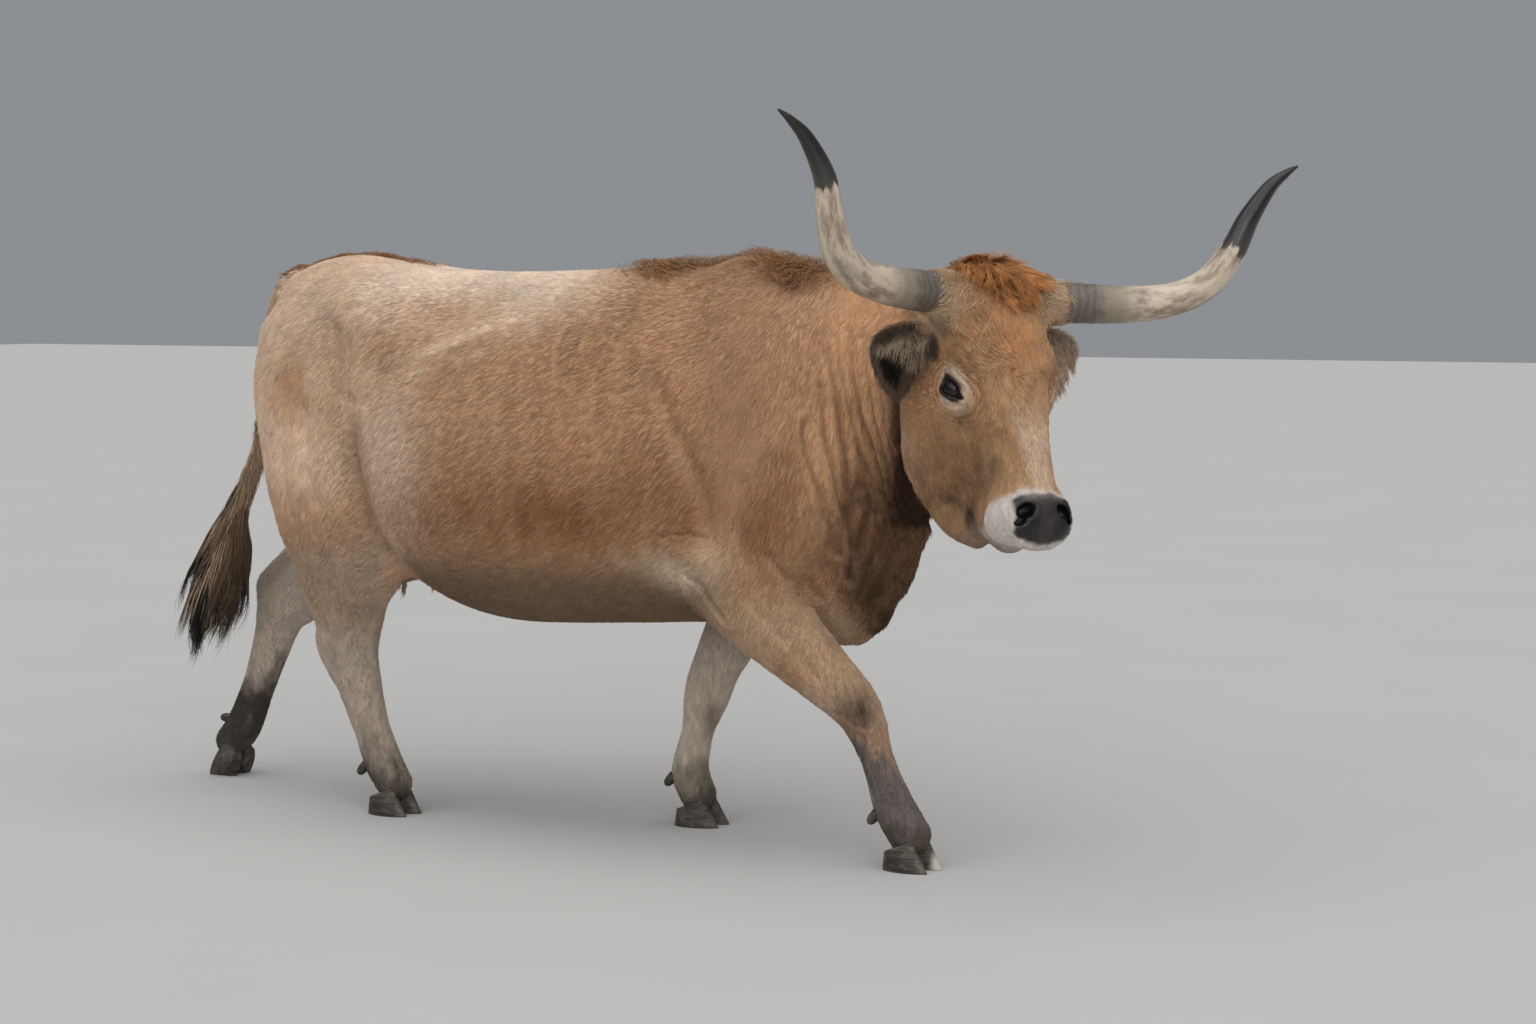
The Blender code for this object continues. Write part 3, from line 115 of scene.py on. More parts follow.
def unit(v):
    v = np.asarray(v, float)
    return v / np.linalg.norm(v)


def units(a):
    return a / np.maximum(np.linalg.norm(a, axis=-1, keepdims=True), 1e-9)


def head_axes():
    yaw, pitch, roll = (math.radians(a) for a in (HEAD_YAW, HEAD_PITCH, HEAD_ROLL))
    ahead = np.array((math.cos(yaw), math.sin(yaw), 0.0))
    down_face = ahead * math.cos(pitch) - UP * math.sin(pitch)
    off_face = ahead * math.sin(pitch) + UP * math.cos(pitch)
    left = np.cross(UP, ahead)

    def rolled(v):
        along = ahead * np.dot(ahead, v)
        return along + (v - along) * math.cos(roll) - np.cross(ahead, v) * math.sin(roll)

    return np.array([rolled(down_face), rolled(off_face), rolled(left)]), rolled(UP), ahead


HEAD_AXES, HEAD_UP, HEAD_AHEAD = head_axes()


def at_head(down, out, side):
    return HEAD_ORIGIN + HEAD_AXES.T @ np.array((down, out, side)) * HEAD_SIZE


def at_horn(side, forward, up, hand):
    return HEAD_ORIGIN + HEAD_AXES[2] * side * hand + HEAD_AHEAD * forward + HEAD_UP * up


def smooth_curve(rows, count):
    rows = np.asarray(rows, float)
    slopes = np.gradient(rows, axis=0)
    out = []
    for k in range(len(rows) - 1):
        for t in np.linspace(0, 1, count, endpoint=False):
            h00 = 2 * t ** 3 - 3 * t ** 2 + 1
            h10 = t ** 3 - 2 * t ** 2 + t
            h01 = -2 * t ** 3 + 3 * t ** 2
            h11 = t ** 3 - t ** 2
            out.append(h00 * rows[k] + h10 * slopes[k] + h01 * rows[k + 1] + h11 * slopes[k + 1])
    out.append(rows[-1])
    return np.array(out)


class Field:
    """Signed samples of a solid on a graded grid, negative inside."""

    def __init__(self, axes):
        self.axes = [a.astype(np.float32) for a in axes]
        self.v = np.full([len(a) for a in self.axes], 1.0, np.float32)

    def window(self, lo, hi, margin):
        cuts = []
        for axis, a, b in zip(self.axes, lo, hi):
            i = int(np.searchsorted(axis, a - margin))
            j = int(np.searchsorted(axis, b + margin))
            cuts.append(slice(max(i, 0), max(j, 0)))
        x = self.axes[0][cuts[0]][:, None, None]
        y = self.axes[1][cuts[1]][None, :, None]
        z = self.axes[2][cuts[2]][None, None, :]
        return tuple(cuts), x, y, z

    def add(self, shape, blend):
        lo, hi, measure = shape
        cuts, x, y, z = self.window(lo, hi, blend + 0.03)
        old = self.v[cuts]
        if old.size:
            new = measure(x, y, z)
            h = np.clip(0.5 + 0.5 * (old - new) / blend, 0, 1)
            self.v[cuts] = old + (new - old) * h - blend * h * (1 - h)

    def carve(self, shape, blend):
        lo, hi, measure = shape
        cuts, x, y, z = self.window(lo, hi, blend + 0.01)
        old = self.v[cuts]
        if old.size:
            new = -measure(x, y, z)
            h = np.clip(0.5 + 0.5 * (new - old) / blend, 0, 1)
            self.v[cuts] = old + (new - old) * h + blend * h * (1 - h)

    def press(self, path, width, depth, hand):
        path = np.asarray(path, float)
        low, high = path.min(0), path.max(0)
        wide = 0.5 if hand > 0 else MIDDLE_REACH
        narrow = MIDDLE_REACH if hand > 0 else 0.5
        cuts, x, y, z = self.window((low[0], -narrow, low[1]), (high[0], wide, high[1]), width * 2.2)
        near = path_gap(x, z, path)
        side = np.clip(0.5 + hand * y / (2 * MIDDLE_REACH), 0, 1)
        self.v[cuts] += (depth * np.exp(-(near / width) ** 2) * side).astype(np.float32)


def path_gap(x, z, path):
    """Distance in the side view to a line through points of x and z."""
    path = np.asarray(path, float)
    near = None
    for a, b in zip(path[:-1], path[1:]):
        step = b - a
        t = np.clip(((x - a[0]) * step[0] + (z - a[1]) * step[1]) / (step @ step), 0, 1)
        gap = np.hypot(x - a[0] - t * step[0], z - a[1] - t * step[1])
        near = gap if near is None else np.minimum(near, gap)
    return near


MIDDLE_REACH = 0.03
FOLDS = (
    (((-0.452, 1.02), (-0.447, 0.91), (-0.432, 0.81), (-0.418, 0.715), (-0.392, 0.665)), 0.026, 0.02),
    (((-0.4, 1.0), (-0.396, 0.9), (-0.376, 0.81), (-0.366, 0.72), (-0.33, 0.655)), 0.022, -0.007),
    (((-0.35, 1.262), (-0.24, 1.245), (-0.15, 1.25)), 0.05, 0.02),
    (((-0.07, 1.285), (-0.104, 1.222), (-0.146, 1.168), (-0.23, 1.14)), 0.02, -0.006),
    (((-0.42, 1.3), (-0.434, 1.2), (-0.436, 1.08)), 0.02, -0.006),
    (((-0.5, 1.18), (-0.51, 1.06)), 0.035, 0.01),
    (((0.4, 1.06), (0.451, 0.954), (0.489, 0.876), (0.515, 0.808), (0.536, 0.73)), 0.028, 0.016),
    (((0.36, 0.69), (0.44, 0.7), (0.51, 0.69)), 0.024, -0.008),
    (((0.745, 0.9), (0.722, 0.8)), 0.035, 0.012),
)
JAW_FOLD = (((1.005, 1.08), (1.0, 0.985), (0.972, 0.905), (0.972, 0.825), (0.992, 0.785)), 0.02, 0.018)


def f32(v):
    return [np.float32(c) for c in v]


def egg(centre, radii, axes=None):
    c = np.asarray(centre, float)
    r = np.asarray(radii, float)
    m = np.eye(3) if axes is None else np.asarray(axes, float)
    reach = np.sqrt(((m * r[:, None]) ** 2).sum(0))
    cc, rr, mm = f32(c), f32(r), [f32(row) for row in m]

    def measure(x, y, z):
        dx, dy, dz = x - cc[0], y - cc[1], z - cc[2]
        inner = 0
        outer = 0
        for k in range(3):
            q = (dx * mm[k][0] + dy * mm[k][1] + dz * mm[k][2]) / rr[k]
            inner = inner + q * q
            outer = outer + (q / rr[k]) ** 2
        inner = np.sqrt(inner) + np.float32(1e-6)
        return inner * (inner - 1) / (np.sqrt(outer) + np.float32(1e-6))

    return c - reach, c + reach, measure


def head_egg(down, out, side, radii):
    return egg(at_head(down, out, side), np.array(radii) * HEAD_SIZE, HEAD_AXES)


def limb(rows, side, smooth=3):
    rows = smooth_curve(rows, smooth)
    p = rows[:, :3]
    r = rows[:, 3:]
    side = unit(side)
    reach = r.max(1)[:, None]

    def measure(x, y, z):
        best = None
        s0, s1, s2 = f32(side)
        for k in range(len(p) - 1):
            a, d = f32(p[k]), f32(p[k + 1] - p[k])
            dx, dy, dz = x - a[0], y - a[1], z - a[2]
            t = np.clip((dx * d[0] + dy * d[1] + dz * d[2]) / (d[0] ** 2 + d[1] ** 2 + d[2] ** 2), 0, 1)
            dx, dy, dz = dx - t * d[0], dy - t * d[1], dz - t * d[2]
            s = dx * s0 + dy * s1 + dz * s2
            total = dx * dx + dy * dy + dz * dz
            deep = np.float32(r[k, 0]) + t * np.float32(r[k + 1, 0] - r[k, 0])
            broad = np.float32(r[k, 1]) + t * np.float32(r[k + 1, 1] - r[k, 1])
            q = np.sqrt(np.maximum(total - s * s, 0) / deep ** 2 + (s / broad) ** 2) + np.float32(1e-4)
            near = np.sqrt(total) * (1 - 1 / q) - (q < 0.02) * np.float32(0.01)
            best = near if best is None else np.minimum(best, near)
        return best

    return (p - reach).min(0), (p + reach).max(0), measure


def head_rod(rows):
    return limb([(*at_head(*row[:3]), row[3] * HEAD_SIZE, row[4] * HEAD_SIZE) for row in rows], HEAD_AXES[2])


def loft(rows, origin, axes, samples=8):
    rows = smooth_curve(rows, samples)
    axes = np.asarray(axes, float)
    u0, u1 = rows[0, 0], rows[-1, 0]
    corners = [origin + axes.T @ np.array((u, v, w))
               for u in (u0, u1)
               for v in (rows[:, 2].min(), rows[:, 1].max())
               for w in (-rows[:, 3].max(), rows[:, 3].max())]
    flat = np.allclose(np.abs(axes[0]), (1, 0, 0))

    def measure(x, y, z):
        o = f32(origin)
        dx, dy, dz = x - o[0], y - o[1], z - o[2]
        if flat:
            u, v, w = dx, dz, dy
        else:
            u, v, w = (dx * np.float32(a[0]) + dy * np.float32(a[1]) + dz * np.float32(a[2]) for a in axes)
        top, bottom, half, level, full_up, full_down = (
            np.interp(u, rows[:, 0], rows[:, k]).astype(np.float32) for k in range(1, 7))
        rise = v - level
        upward = rise > 0
        extent = np.where(upward, top - level, level - bottom)
        power = np.where(upward, full_up, full_down)
        across = np.abs(w) / half
        high = np.abs(rise) / extent
        q = (across ** power + high ** power) ** (1 / power) + np.float32(1e-4)
        radial = np.sqrt(rise * rise + w * w) * (1 - 1 / q) - (q < 0.05) * np.float32(0.02)
        return np.maximum(radial, np.maximum(np.float32(u0) - u, u - np.float32(u1)))

    return np.min(corners, 0), np.max(corners, 0), measure


def forelimb(hand, rows, shoulder, elbow):
    middle = [(a + b) / 2 for a, b in zip(shoulder, elbow)]
    return [
        (limb((
            (0.53, 0.075 * hand, 1.25, 0.1, 0.045),
            (0.61, 0.14 * hand, 1.08, 0.125, 0.052),
            (0.7, 0.172 * hand, 0.93, 0.12, 0.056),
        ), SIDEWAYS), 0.09),
        (egg(shoulder, (0.09, 0.058, 0.12)), 0.1),
        (limb((
            (shoulder[0] - 0.03, shoulder[1] * 0.97, shoulder[2] - 0.01, 0.105, 0.056),
            (*middle, 0.125, 0.068),
            (*elbow, 0.088, 0.06),
        ), SIDEWAYS), 0.08),
        (limb(rows, SIDEWAYS), 0.045),
    ]


def trunk_shapes():
    upright = np.array(((1, 0, 0), (0, 0, 1), (0, 1, 0)), float)
    shapes = [(loft(TRUNK, np.zeros(3), upright), 0.02)]
    shapes.append((limb((
        (0.56, 0.0, 1.08, 0.23, 0.165),
        (0.76, -0.005, 1.075, 0.235, 0.155),
        (0.93, -0.045, 1.09, 0.21, 0.135),
        (1.06, -0.095, 1.12, 0.175, 0.12),
        (1.12, -0.125, 1.15, 0.145, 0.11),
    ), SIDEWAYS), 0.08))
    shapes.append((limb((
        (0.55, 0.0, 1.3, 0.05, 0.04),
        (0.75, -0.01, 1.29, 0.045, 0.045),
        (0.95, -0.065, 1.285, 0.045, 0.05),
        (1.12, -0.13, 1.29, 0.055, 0.065),
    ), SIDEWAYS), 0.07))
    shapes.append((limb((
        (0.7, 0.0, 0.6, 0.105, 0.075),
        (0.785, 0.0, 0.54, 0.062, 0.038),
        (0.852, -0.012, 0.65, 0.085, 0.03),
        (0.898, -0.028, 0.78, 0.101, 0.034),
        (0.965, -0.062, 0.88, 0.1, 0.046),
        (1.04, -0.095, 0.96, 0.1, 0.062),
    ), SIDEWAYS), 0.06))
    for hand in (-1, 1):
        shapes.append((egg((-0.42, 0.205 * hand, 1.252), (0.12, 0.062, 0.058)), 0.14))
        shapes.append((egg((-0.775, 0.11 * hand, 1.18), (0.07, 0.055, 0.055)), 0.06))
        shapes.append((egg((-0.61, 0.15 * hand, 1.08), (0.215, 0.108, 0.2)), 0.06))
        shapes.append((egg((-0.65, 0.14 * hand, 0.96), (0.178, 0.108, 0.26)), 0.06))
    return shapes


LEGS = {
    "fore_right": (
        (0.555, -0.205, 0.64, 0.105, 0.075),
        (0.665, -0.18, 0.545, 0.098, 0.072),
        (0.775, -0.142, 0.435, 0.074, 0.06),
        (0.858, -0.114, 0.345, 0.057, 0.05),
        (0.902, -0.11, 0.24, 0.04, 0.035),
        (0.946, -0.11, 0.135, 0.05, 0.045),
        (0.985, -0.11, 0.075, 0.05, 0.05),
    ),
    "fore_left": (
        (0.47, 0.195, 0.66, 0.095, 0.07),
        (0.405, 0.155, 0.53, 0.084, 0.066),
        (0.345, 0.125, 0.4, 0.064, 0.056),
        (0.315, 0.12, 0.318, 0.059, 0.051),
        (0.288, 0.12, 0.225, 0.042, 0.036),
        (0.268, 0.12, 0.13, 0.049, 0.045),
        (0.29, 0.12, 0.075, 0.046, 0.048),
    ),
    "hind_right": (
        (-0.52, -0.165, 0.98, 0.205, 0.105),
        (-0.54, -0.185, 0.82, 0.225, 0.095),
        (-0.532, -0.175, 0.7, 0.192, 0.082),
        (-0.562, -0.15, 0.59, 0.139, 0.068),
        (-0.57, -0.13, 0.49, 0.099, 0.056),
        (-0.574, -0.122, 0.4, 0.08, 0.046),
        (-0.545, -0.12, 0.3, 0.062, 0.042),
        (-0.512, -0.12, 0.205, 0.05, 0.039),
        (-0.478, -0.12, 0.125, 0.051, 0.045),
        (-0.445, -0.12, 0.075, 0.046, 0.048),
    ),
    "hind_left": (
        (-0.54, 0.165, 0.98, 0.2, 0.105),
        (-0.61, 0.185, 0.82, 0.175, 0.095),
        (-0.7, 0.175, 0.7, 0.135, 0.08),
        (-0.82, 0.158, 0.595, 0.108, 0.066),
        (-0.92, 0.146, 0.515, 0.086, 0.054),
        (-1.0, 0.141, 0.45, 0.071, 0.046),
        (-1.045, 0.14, 0.35, 0.057, 0.042),
        (-1.09, 0.14, 0.24, 0.048, 0.039),
        (-1.14, 0.14, 0.135, 0.051, 0.046),
        (-1.18, 0.14, 0.092, 0.046, 0.048),
    ),
}
HAMSTRINGS = (
    (
        (-0.675, -0.14, 0.56, 0.026, 0.022),
        (-0.652, -0.125, 0.47, 0.024, 0.02),
        (-0.652, -0.121, 0.41, 0.028, 0.024),
        (-0.61, -0.12, 0.35, 0.026, 0.024),
    ),
    (
        (-0.96, 0.15, 0.62, 0.026, 0.022),
        (-1.04, 0.142, 0.548, 0.024, 0.022),
        (-1.062, 0.141, 0.51, 0.028, 0.024),
        (-1.05, 0.14, 0.43, 0.024, 0.024),
    ),
)


def leg_shapes():
    shapes = forelimb(-1, LEGS["fore_right"], (0.745, -0.185, 0.84), (0.56, -0.205, 0.66))
    shapes += forelimb(1, LEGS["fore_left"], (0.71, 0.19, 0.84), (0.48, 0.2, 0.68))
    shapes.append((limb(LEGS["hind_right"], SIDEWAYS), 0.05))
    shapes.append((limb(HAMSTRINGS[0], SIDEWAYS), 0.03))
    shapes.append((limb(LEGS["hind_left"], SIDEWAYS), 0.05))
    shapes.append((limb(HAMSTRINGS[1], SIDEWAYS), 0.03))
    return shapes


def head_shapes():
    skull = [[value * HEAD_SIZE for value in row[:5]] + list(row[5:]) for row in SKULL]
    shapes = [(loft(skull, HEAD_ORIGIN, HEAD_AXES), 0.03)]
    shapes.append((head_egg(-0.03, -0.01, 0.0, (0.05, 0.055, 0.09)), 0.03))
    shapes.append((head_rod((
        (0.165, 0.032, 0.0, 0.034, 0.052),
        (0.29, 0.028, 0.0, 0.03, 0.042),
        (0.41, 0.014, 0.0, 0.027, 0.037),
        (0.485, 0.008, 0.0, 0.029, 0.045),
    )), 0.02))
    for hand in (-1, 1):
        shapes.append((limb([(*at_horn(*row[:3], hand), row[3], row[3]) for row in COLLAR], HEAD_UP), 0.03))
        shapes.append((head_egg(0.152, -0.01, 0.084 * hand, (0.052, 0.046, 0.036)), 0.03))
        shapes.append((head_egg(0.2, -0.046, 0.09 * hand, (0.056, 0.052, 0.034)), 0.02))
        shapes.append((head_egg(0.055, -0.11, 0.076 * hand, (0.085, 0.07, 0.036)), 0.03))
        shapes.append((head_egg(0.235, -0.2, 0.074 * hand, (0.135, 0.12, 0.045)), 0.05))
        shapes.append((head_egg(0.15, -0.215, 0.084 * hand, (0.115, 0.105, 0.055)), 0.05))
        shapes.append((head_rod((
            (0.23, -0.29, 0.062 * hand, 0.04, 0.03),
            (0.325, -0.276, 0.054 * hand, 0.038, 0.026),
            (0.405, -0.238, 0.046 * hand, 0.036, 0.026),
            (0.462, -0.18, 0.034 * hand, 0.032, 0.026),
        )), 0.03))
        shapes.append((head_egg(0.485, -0.036, 0.052 * hand, (0.056, 0.056, 0.038)), 0.02))
        shapes.append((head_egg(0.508, 0.004, 0.04 * hand, (0.038, 0.028, 0.032)), 0.015))
        shapes.append((egg(eye_centre(hand), (EYE_RADIUS + LID,) * 3), 0.01))
    shapes.append((head_egg(0.486, -0.12, 0.0, (0.044, 0.034, 0.048)), 0.02))
    return shapes


def eye_centre(hand):
    return at_head(EYE_STATION, EYE_LEVEL, EYE_SIDE * hand)


def lid_axes(hand):
    along = unit(HEAD_AXES[0] * 0.82 + HEAD_AXES[1] * 0.49 - HEAD_AXES[2] * hand * 0.28)
    outward = unit(HEAD_AXES[2] * hand * 0.86 + HEAD_AXES[1] * 0.5)
    outward = unit(outward - along * np.dot(outward, along))
    return np.array((along, outward, np.cross(along, outward)))


def head_carvings():
    cuts = []
    for hand in (-1, 1):
        cuts.append((head_rod((
            (0.448, -0.142, 0.08 * hand, 0.004, 0.004),
            (0.478, -0.122, 0.09 * hand, 0.005, 0.005),
            (0.515, -0.096, 0.076 * hand, 0.005, 0.005),
            (0.542, -0.074, 0.042 * hand, 0.005, 0.005),
            (0.551, -0.068, 0.0, 0.005, 0.005),
        )), 0.006))
        slant = unit(HEAD_AXES[0] * 0.55 + HEAD_AXES[2] * hand * 0.8)
        inward = unit(-HEAD_AXES[1] - HEAD_AXES[0] * 0.5)
        cross = unit(np.cross(slant, inward))
        turn = np.array((slant, unit(np.cross(cross, slant)), cross))
        cuts.append((egg(at_head(0.503, 0.026, 0.045 * hand), (0.021, 0.027, 0.014), turn), 0.006))
        cuts.append((egg(at_head(0.524, 0.016, 0.058 * hand), (0.012, 0.016, 0.006), turn), 0.005))
        axes = lid_axes(hand)
        centre = eye_centre(hand) + axes[1] * EYE_RADIUS
        cuts.append((egg(centre, (0.034, 0.023, 0.015), axes), 0.003))
        for along, sink, radii in EYE_CORNERS:
            cuts.append((egg(centre + axes[0] * along - axes[1] * sink, radii, axes), 0.003))
    return cuts


UDDER = (
    ((-0.56, 0.0, 0.64), (0.13, 0.095, 0.085)),
    ((-0.49, 0.0, 0.64), (0.09, 0.085, 0.07)),
)
TEATS = ((-0.455, -0.06), (-0.455, 0.06), (-0.555, -0.055), (-0.555, 0.055))
TEAT_TOP = 0.6
TEAT_DROP = 0.058
TAIL = (
    (-0.8, 0.0, 1.318, 0.042, 0.04),
    (-0.85, 0.0, 1.3, 0.037, 0.036),
    (-0.893, 0.0, 1.235, 0.031, 0.031),
    (-0.918, 0.0, 1.12, 0.027, 0.027),
    (-0.934, 0.0, 0.99, 0.025, 0.025),
    (-0.958, 0.0, 0.88, 0.025, 0.024),
    (-1.002, 0.0, 0.79, 0.026, 0.025),
    (-1.04, 0.0, 0.72, 0.029, 0.027),
    (-1.062, 0.0, 0.66, 0.03, 0.028),
    (-1.092, 0.0, 0.57, 0.028, 0.024),
    (-1.112, 0.0, 0.5, 0.014, 0.012),
)

EAR_LENGTH = 0.155
EAR_BREADTH = 0.134
EAR_THICK = 0.01
EAR_BOW = 0.04
EAR_HANG = {
    -1: ((0.032, -0.087, 0.124), (0.42, 0.89, 0.0)),
    1: ((0.028, -0.085, 0.126), (0.5, 0.85, 0.05)),
}


def ear_surface(t, s, hand):
    """Middle surface of an ear and its facing for arrays of t, root to tip, and s, edge to edge."""
    outward = HEAD_AXES[2] * hand
    (down, out, side), (swing_out, hang, ahead) = EAR_HANG[hand]
    root = at_head(down, out, side * hand)
    way = unit(outward * swing_out - HEAD_UP * hang + HEAD_AHEAD * ahead)
    opening = unit(HEAD_AHEAD * 0.85 + outward * 0.15)
    opening = unit(opening - way * np.dot(opening, way))
    across = np.cross(way, opening)
    bow = unit(outward - way * np.dot(outward, way)) * EAR_BOW
    half = EAR_BREADTH / 2 * np.sin(math.pi * (0.15 + 0.81 * t)) ** 0.7
    curl = 1.35 * (1 - t) + 0.35
    radius = half / curl
    middle = root + way * (EAR_LENGTH * t)[..., None] + (bow - opening
                                                         * 0.01) * np.sin(math.pi * t)[..., None]
    place = (middle + across * (radius * np.sin(s * curl))[..., None]
             + opening * (radius * (1 - np.cos(s * curl)))[..., None])
    facing = opening * np.cos(s * curl)[..., None] - across * np.sin(s * curl)[..., None]
    return place, facing, way


def ear_cloud(hand, rows=34, columns=30):
    t, s = np.meshgrid(np.linspace(0, 1, rows), np.linspace(-1, 1, columns), indexing="ij")
    place, facing, way = ear_surface(t, s, hand)
    thick = EAR_THICK * (1.0 - 0.4 * np.abs(s) ** 3) * (1.3 - 0.6 * t)
    return place.reshape(-1, 3), facing.reshape(-1, 3), thick.reshape(-1), t.reshape(-1), s.reshape(-1)


def nearest(points, cloud, chunk=20000):
    """Distance to the nearest point of a small cloud, and which it is."""
    cloud = cloud.astype(np.float32)
    out = np.empty(len(points), np.float32)
    which = np.empty(len(points), np.int32)
    cc = (cloud ** 2).sum(1)
    for k in range(0, len(points), chunk):
        p = points[k:k + chunk].astype(np.float32)
        d = (p ** 2).sum(1)[:, None] + cc[None] - 2 * p @ cloud.T
        j = d.argmin(1)
        which[k:k + chunk] = j
        out[k:k + chunk] = np.sqrt(np.maximum(d[np.arange(len(p)), j], 0))
    return out, which


def ear_shape(hand):
    """A thin cupped shell round the ear's middle surface."""
    cloud, facing, thick, t, s = ear_cloud(hand)
    middle = cloud.mean(0)
    base = (cloud - middle)
    lo, hi = cloud.min(0) - 0.012, cloud.max(0) + 0.012

    def measure(x, y, z):
        shape = np.broadcast(x, y, z).shape
        points = np.stack([np.broadcast_to(a, shape).reshape(-1) for a in (x, y, z)], 1) - middle
        near, which = nearest(points, base)
        # distance off the sheet, measured along its facing, joined with the distance past its rim
        offset = points - base[which]
        along = np.abs((offset * facing[which]).sum(1))
        beyond = np.sqrt(np.maximum(near ** 2 - along ** 2, 0))
        half = thick[which] / 2
        gap = np.hypot(np.maximum(beyond - 0.0022, 0), along) - half
        return gap.reshape(shape).astype(np.float32)

    return lo, hi, measure


def graded(lo, hi, fine_lo, fine_hi):
    return np.concatenate([
        np.arange(lo, fine_lo, COARSE),
        np.arange(fine_lo, fine_hi, FINE),
        np.arange(fine_hi, hi + COARSE, COARSE)])


def surface_net(field):
    """Closed quad mesh of the zero level."""
    v = field.v
    inside = v < 0
    n = np.array(v.shape)
    total = np.zeros(n - 1, np.int8)
    for i in (0, 1):
        for j in (0, 1):
            for k in (0, 1):
                total += inside[i:n[0] - 1 + i, j:n[1] - 1 + j, k:n[2] - 1 + k]
    active = (total > 0) & (total < 8)
    index = np.full(active.shape, -1, np.int32)
    index[active] = np.arange(active.sum())
    cell = np.argwhere(active)
    places = np.zeros((len(cell), 3))
    hits = np.zeros(len(cell))
    for axis in range(3):
        others = [a for a in range(3) if a != axis]
        for p in (0, 1):
            for q in (0, 1):
                start = cell.copy()
                start[:, others[0]] += p
                start[:, others[1]] += q
                end = start.copy()
                end[:, axis] += 1
                a = v[tuple(start.T)]
                b = v[tuple(end.T)]
                crossed = (a < 0) != (b < 0)
                t = np.where(crossed, a / np.where(crossed, a - b, 1), 0)
                point = np.stack([field.axes[k][start[:, k]] for k in range(3)], 1).astype(float)
                point[:, axis] += t * (field.axes[axis][end[:, axis]] - field.axes[axis][start[:, axis]])
                places += point * crossed[:, None]
                hits += crossed
    places /= hits[:, None]
    faces = []
    for axis in range(3):
        b, c = (axis + 1) % 3, (axis + 2) % 3
        low = [slice(None)] * 3
        high = [slice(None)] * 3
        low[axis] = slice(0, -1)
        high[axis] = slice(1, None)
        edge = np.argwhere(inside[tuple(low)] != inside[tuple(high)])
        edge = edge[(edge[:, b] > 0) & (edge[:, c] > 0) & (edge[:, b] < n[b] - 1) & (edge[:, c] < n[c] - 1)]
        ring = []
        for db, dc in ((1, 1), (0, 1), (0, 0), (1, 0)):
            at = edge.copy()
            at[:, b] -= db
            at[:, c] -= dc
            ring.append(index[tuple(at.T)])
        quad = np.stack(ring, 1)
        flip = ~inside[tuple(edge.T)]
        quad[flip] = quad[flip][:, ::-1]
        faces.append(quad)
    return places, np.concatenate(faces)


def sum_at(index, values, count):
    return np.stack([np.bincount(index, values[:, k], count) for k in range(values.shape[1])], 1)


def relax(points, quads, rounds, strength, weight=None):
    """Evens a quad mesh without shrinking it."""
    a = np.concatenate([quads[:, k] for k in range(4)])
    b = np.concatenate([quads[:, (k + 1) % 4] for k in range(4)])
    index = np.concatenate([a, b])
    other = np.concatenate([b, a])
    count = np.bincount(index, minlength=len(points))[:, None]
    for k in range(rounds * 2):
        mean = sum_at(index, points[other], len(points)) / count
        step = strength if k % 2 == 0 else -strength * 1.04
        move = (mean - points) * step
        points = points + (move if weight is None else move * weight[:, None])
    return points


def quad_normals(points, quads):
    d1 = points[quads[:, 2]] - points[quads[:, 0]]
    d2 = points[quads[:, 3]] - points[quads[:, 1]]
    face = np.cross(d1, d2)
    total = np.zeros_like(points)
    for k in range(4):
        total += sum_at(quads[:, k], face, len(points))
    return units(total)


LATTICE = np.random.default_rng(3).random((32, 32, 32)).astype(np.float32)


def noise(p, scale, seed=0):
    """Smooth value noise between -1 and 1."""
    q = p * scale + seed * 7.31
    base = np.floor(q).astype(int)
    f = q - base
    f = f * f * (3 - 2 * f)
    base &= 31
    up = (base + 1) & 31
    total = 0
    for i in (0, 1):
        wx = f[:, 0] if i else 1 - f[:, 0]
        xi = up[:, 0] if i else base[:, 0]
        for j in (0, 1):
            wy = f[:, 1] if j else 1 - f[:, 1]
            yj = up[:, 1] if j else base[:, 1]
            for k in (0, 1):
                wz = f[:, 2] if k else 1 - f[:, 2]
                zk = up[:, 2] if k else base[:, 2]
                total = total + wx * wy * wz * LATTICE[xi, yj, zk]
    return total * 2 - 1


def rough(p, scale, seed=0, octaves=3):
    total = 0
    size = 1.0
    for k in range(octaves):
        total = total + noise(p, scale * 2 ** k, seed + k) * size
        size *= 0.5
    return total


def ramp(v, lo, hi):
    t = np.clip((v - lo) / (hi - lo), 0, 1)
    return t * t * (3 - 2 * t)


def bump_at(p, centre, reach):
    d = np.linalg.norm((p - np.asarray(centre)) / np.asarray(reach), axis=1)
    return np.exp(-d * d * 1.5)


def laid(way, normal, share=1.0):
    """Directions laid down along the surface."""
    return units(way - normal * (way * normal).sum(1)[:, None] * share)


def linear(colour):
    c = np.asarray(colour, float) / 255
    return np.where(c <= 0.04045, c / 12.92, ((c + 0.055) / 1.055) ** 2.4)


def to_head(p):
    return (p - HEAD_ORIGIN) @ HEAD_AXES.T / HEAD_SIZE


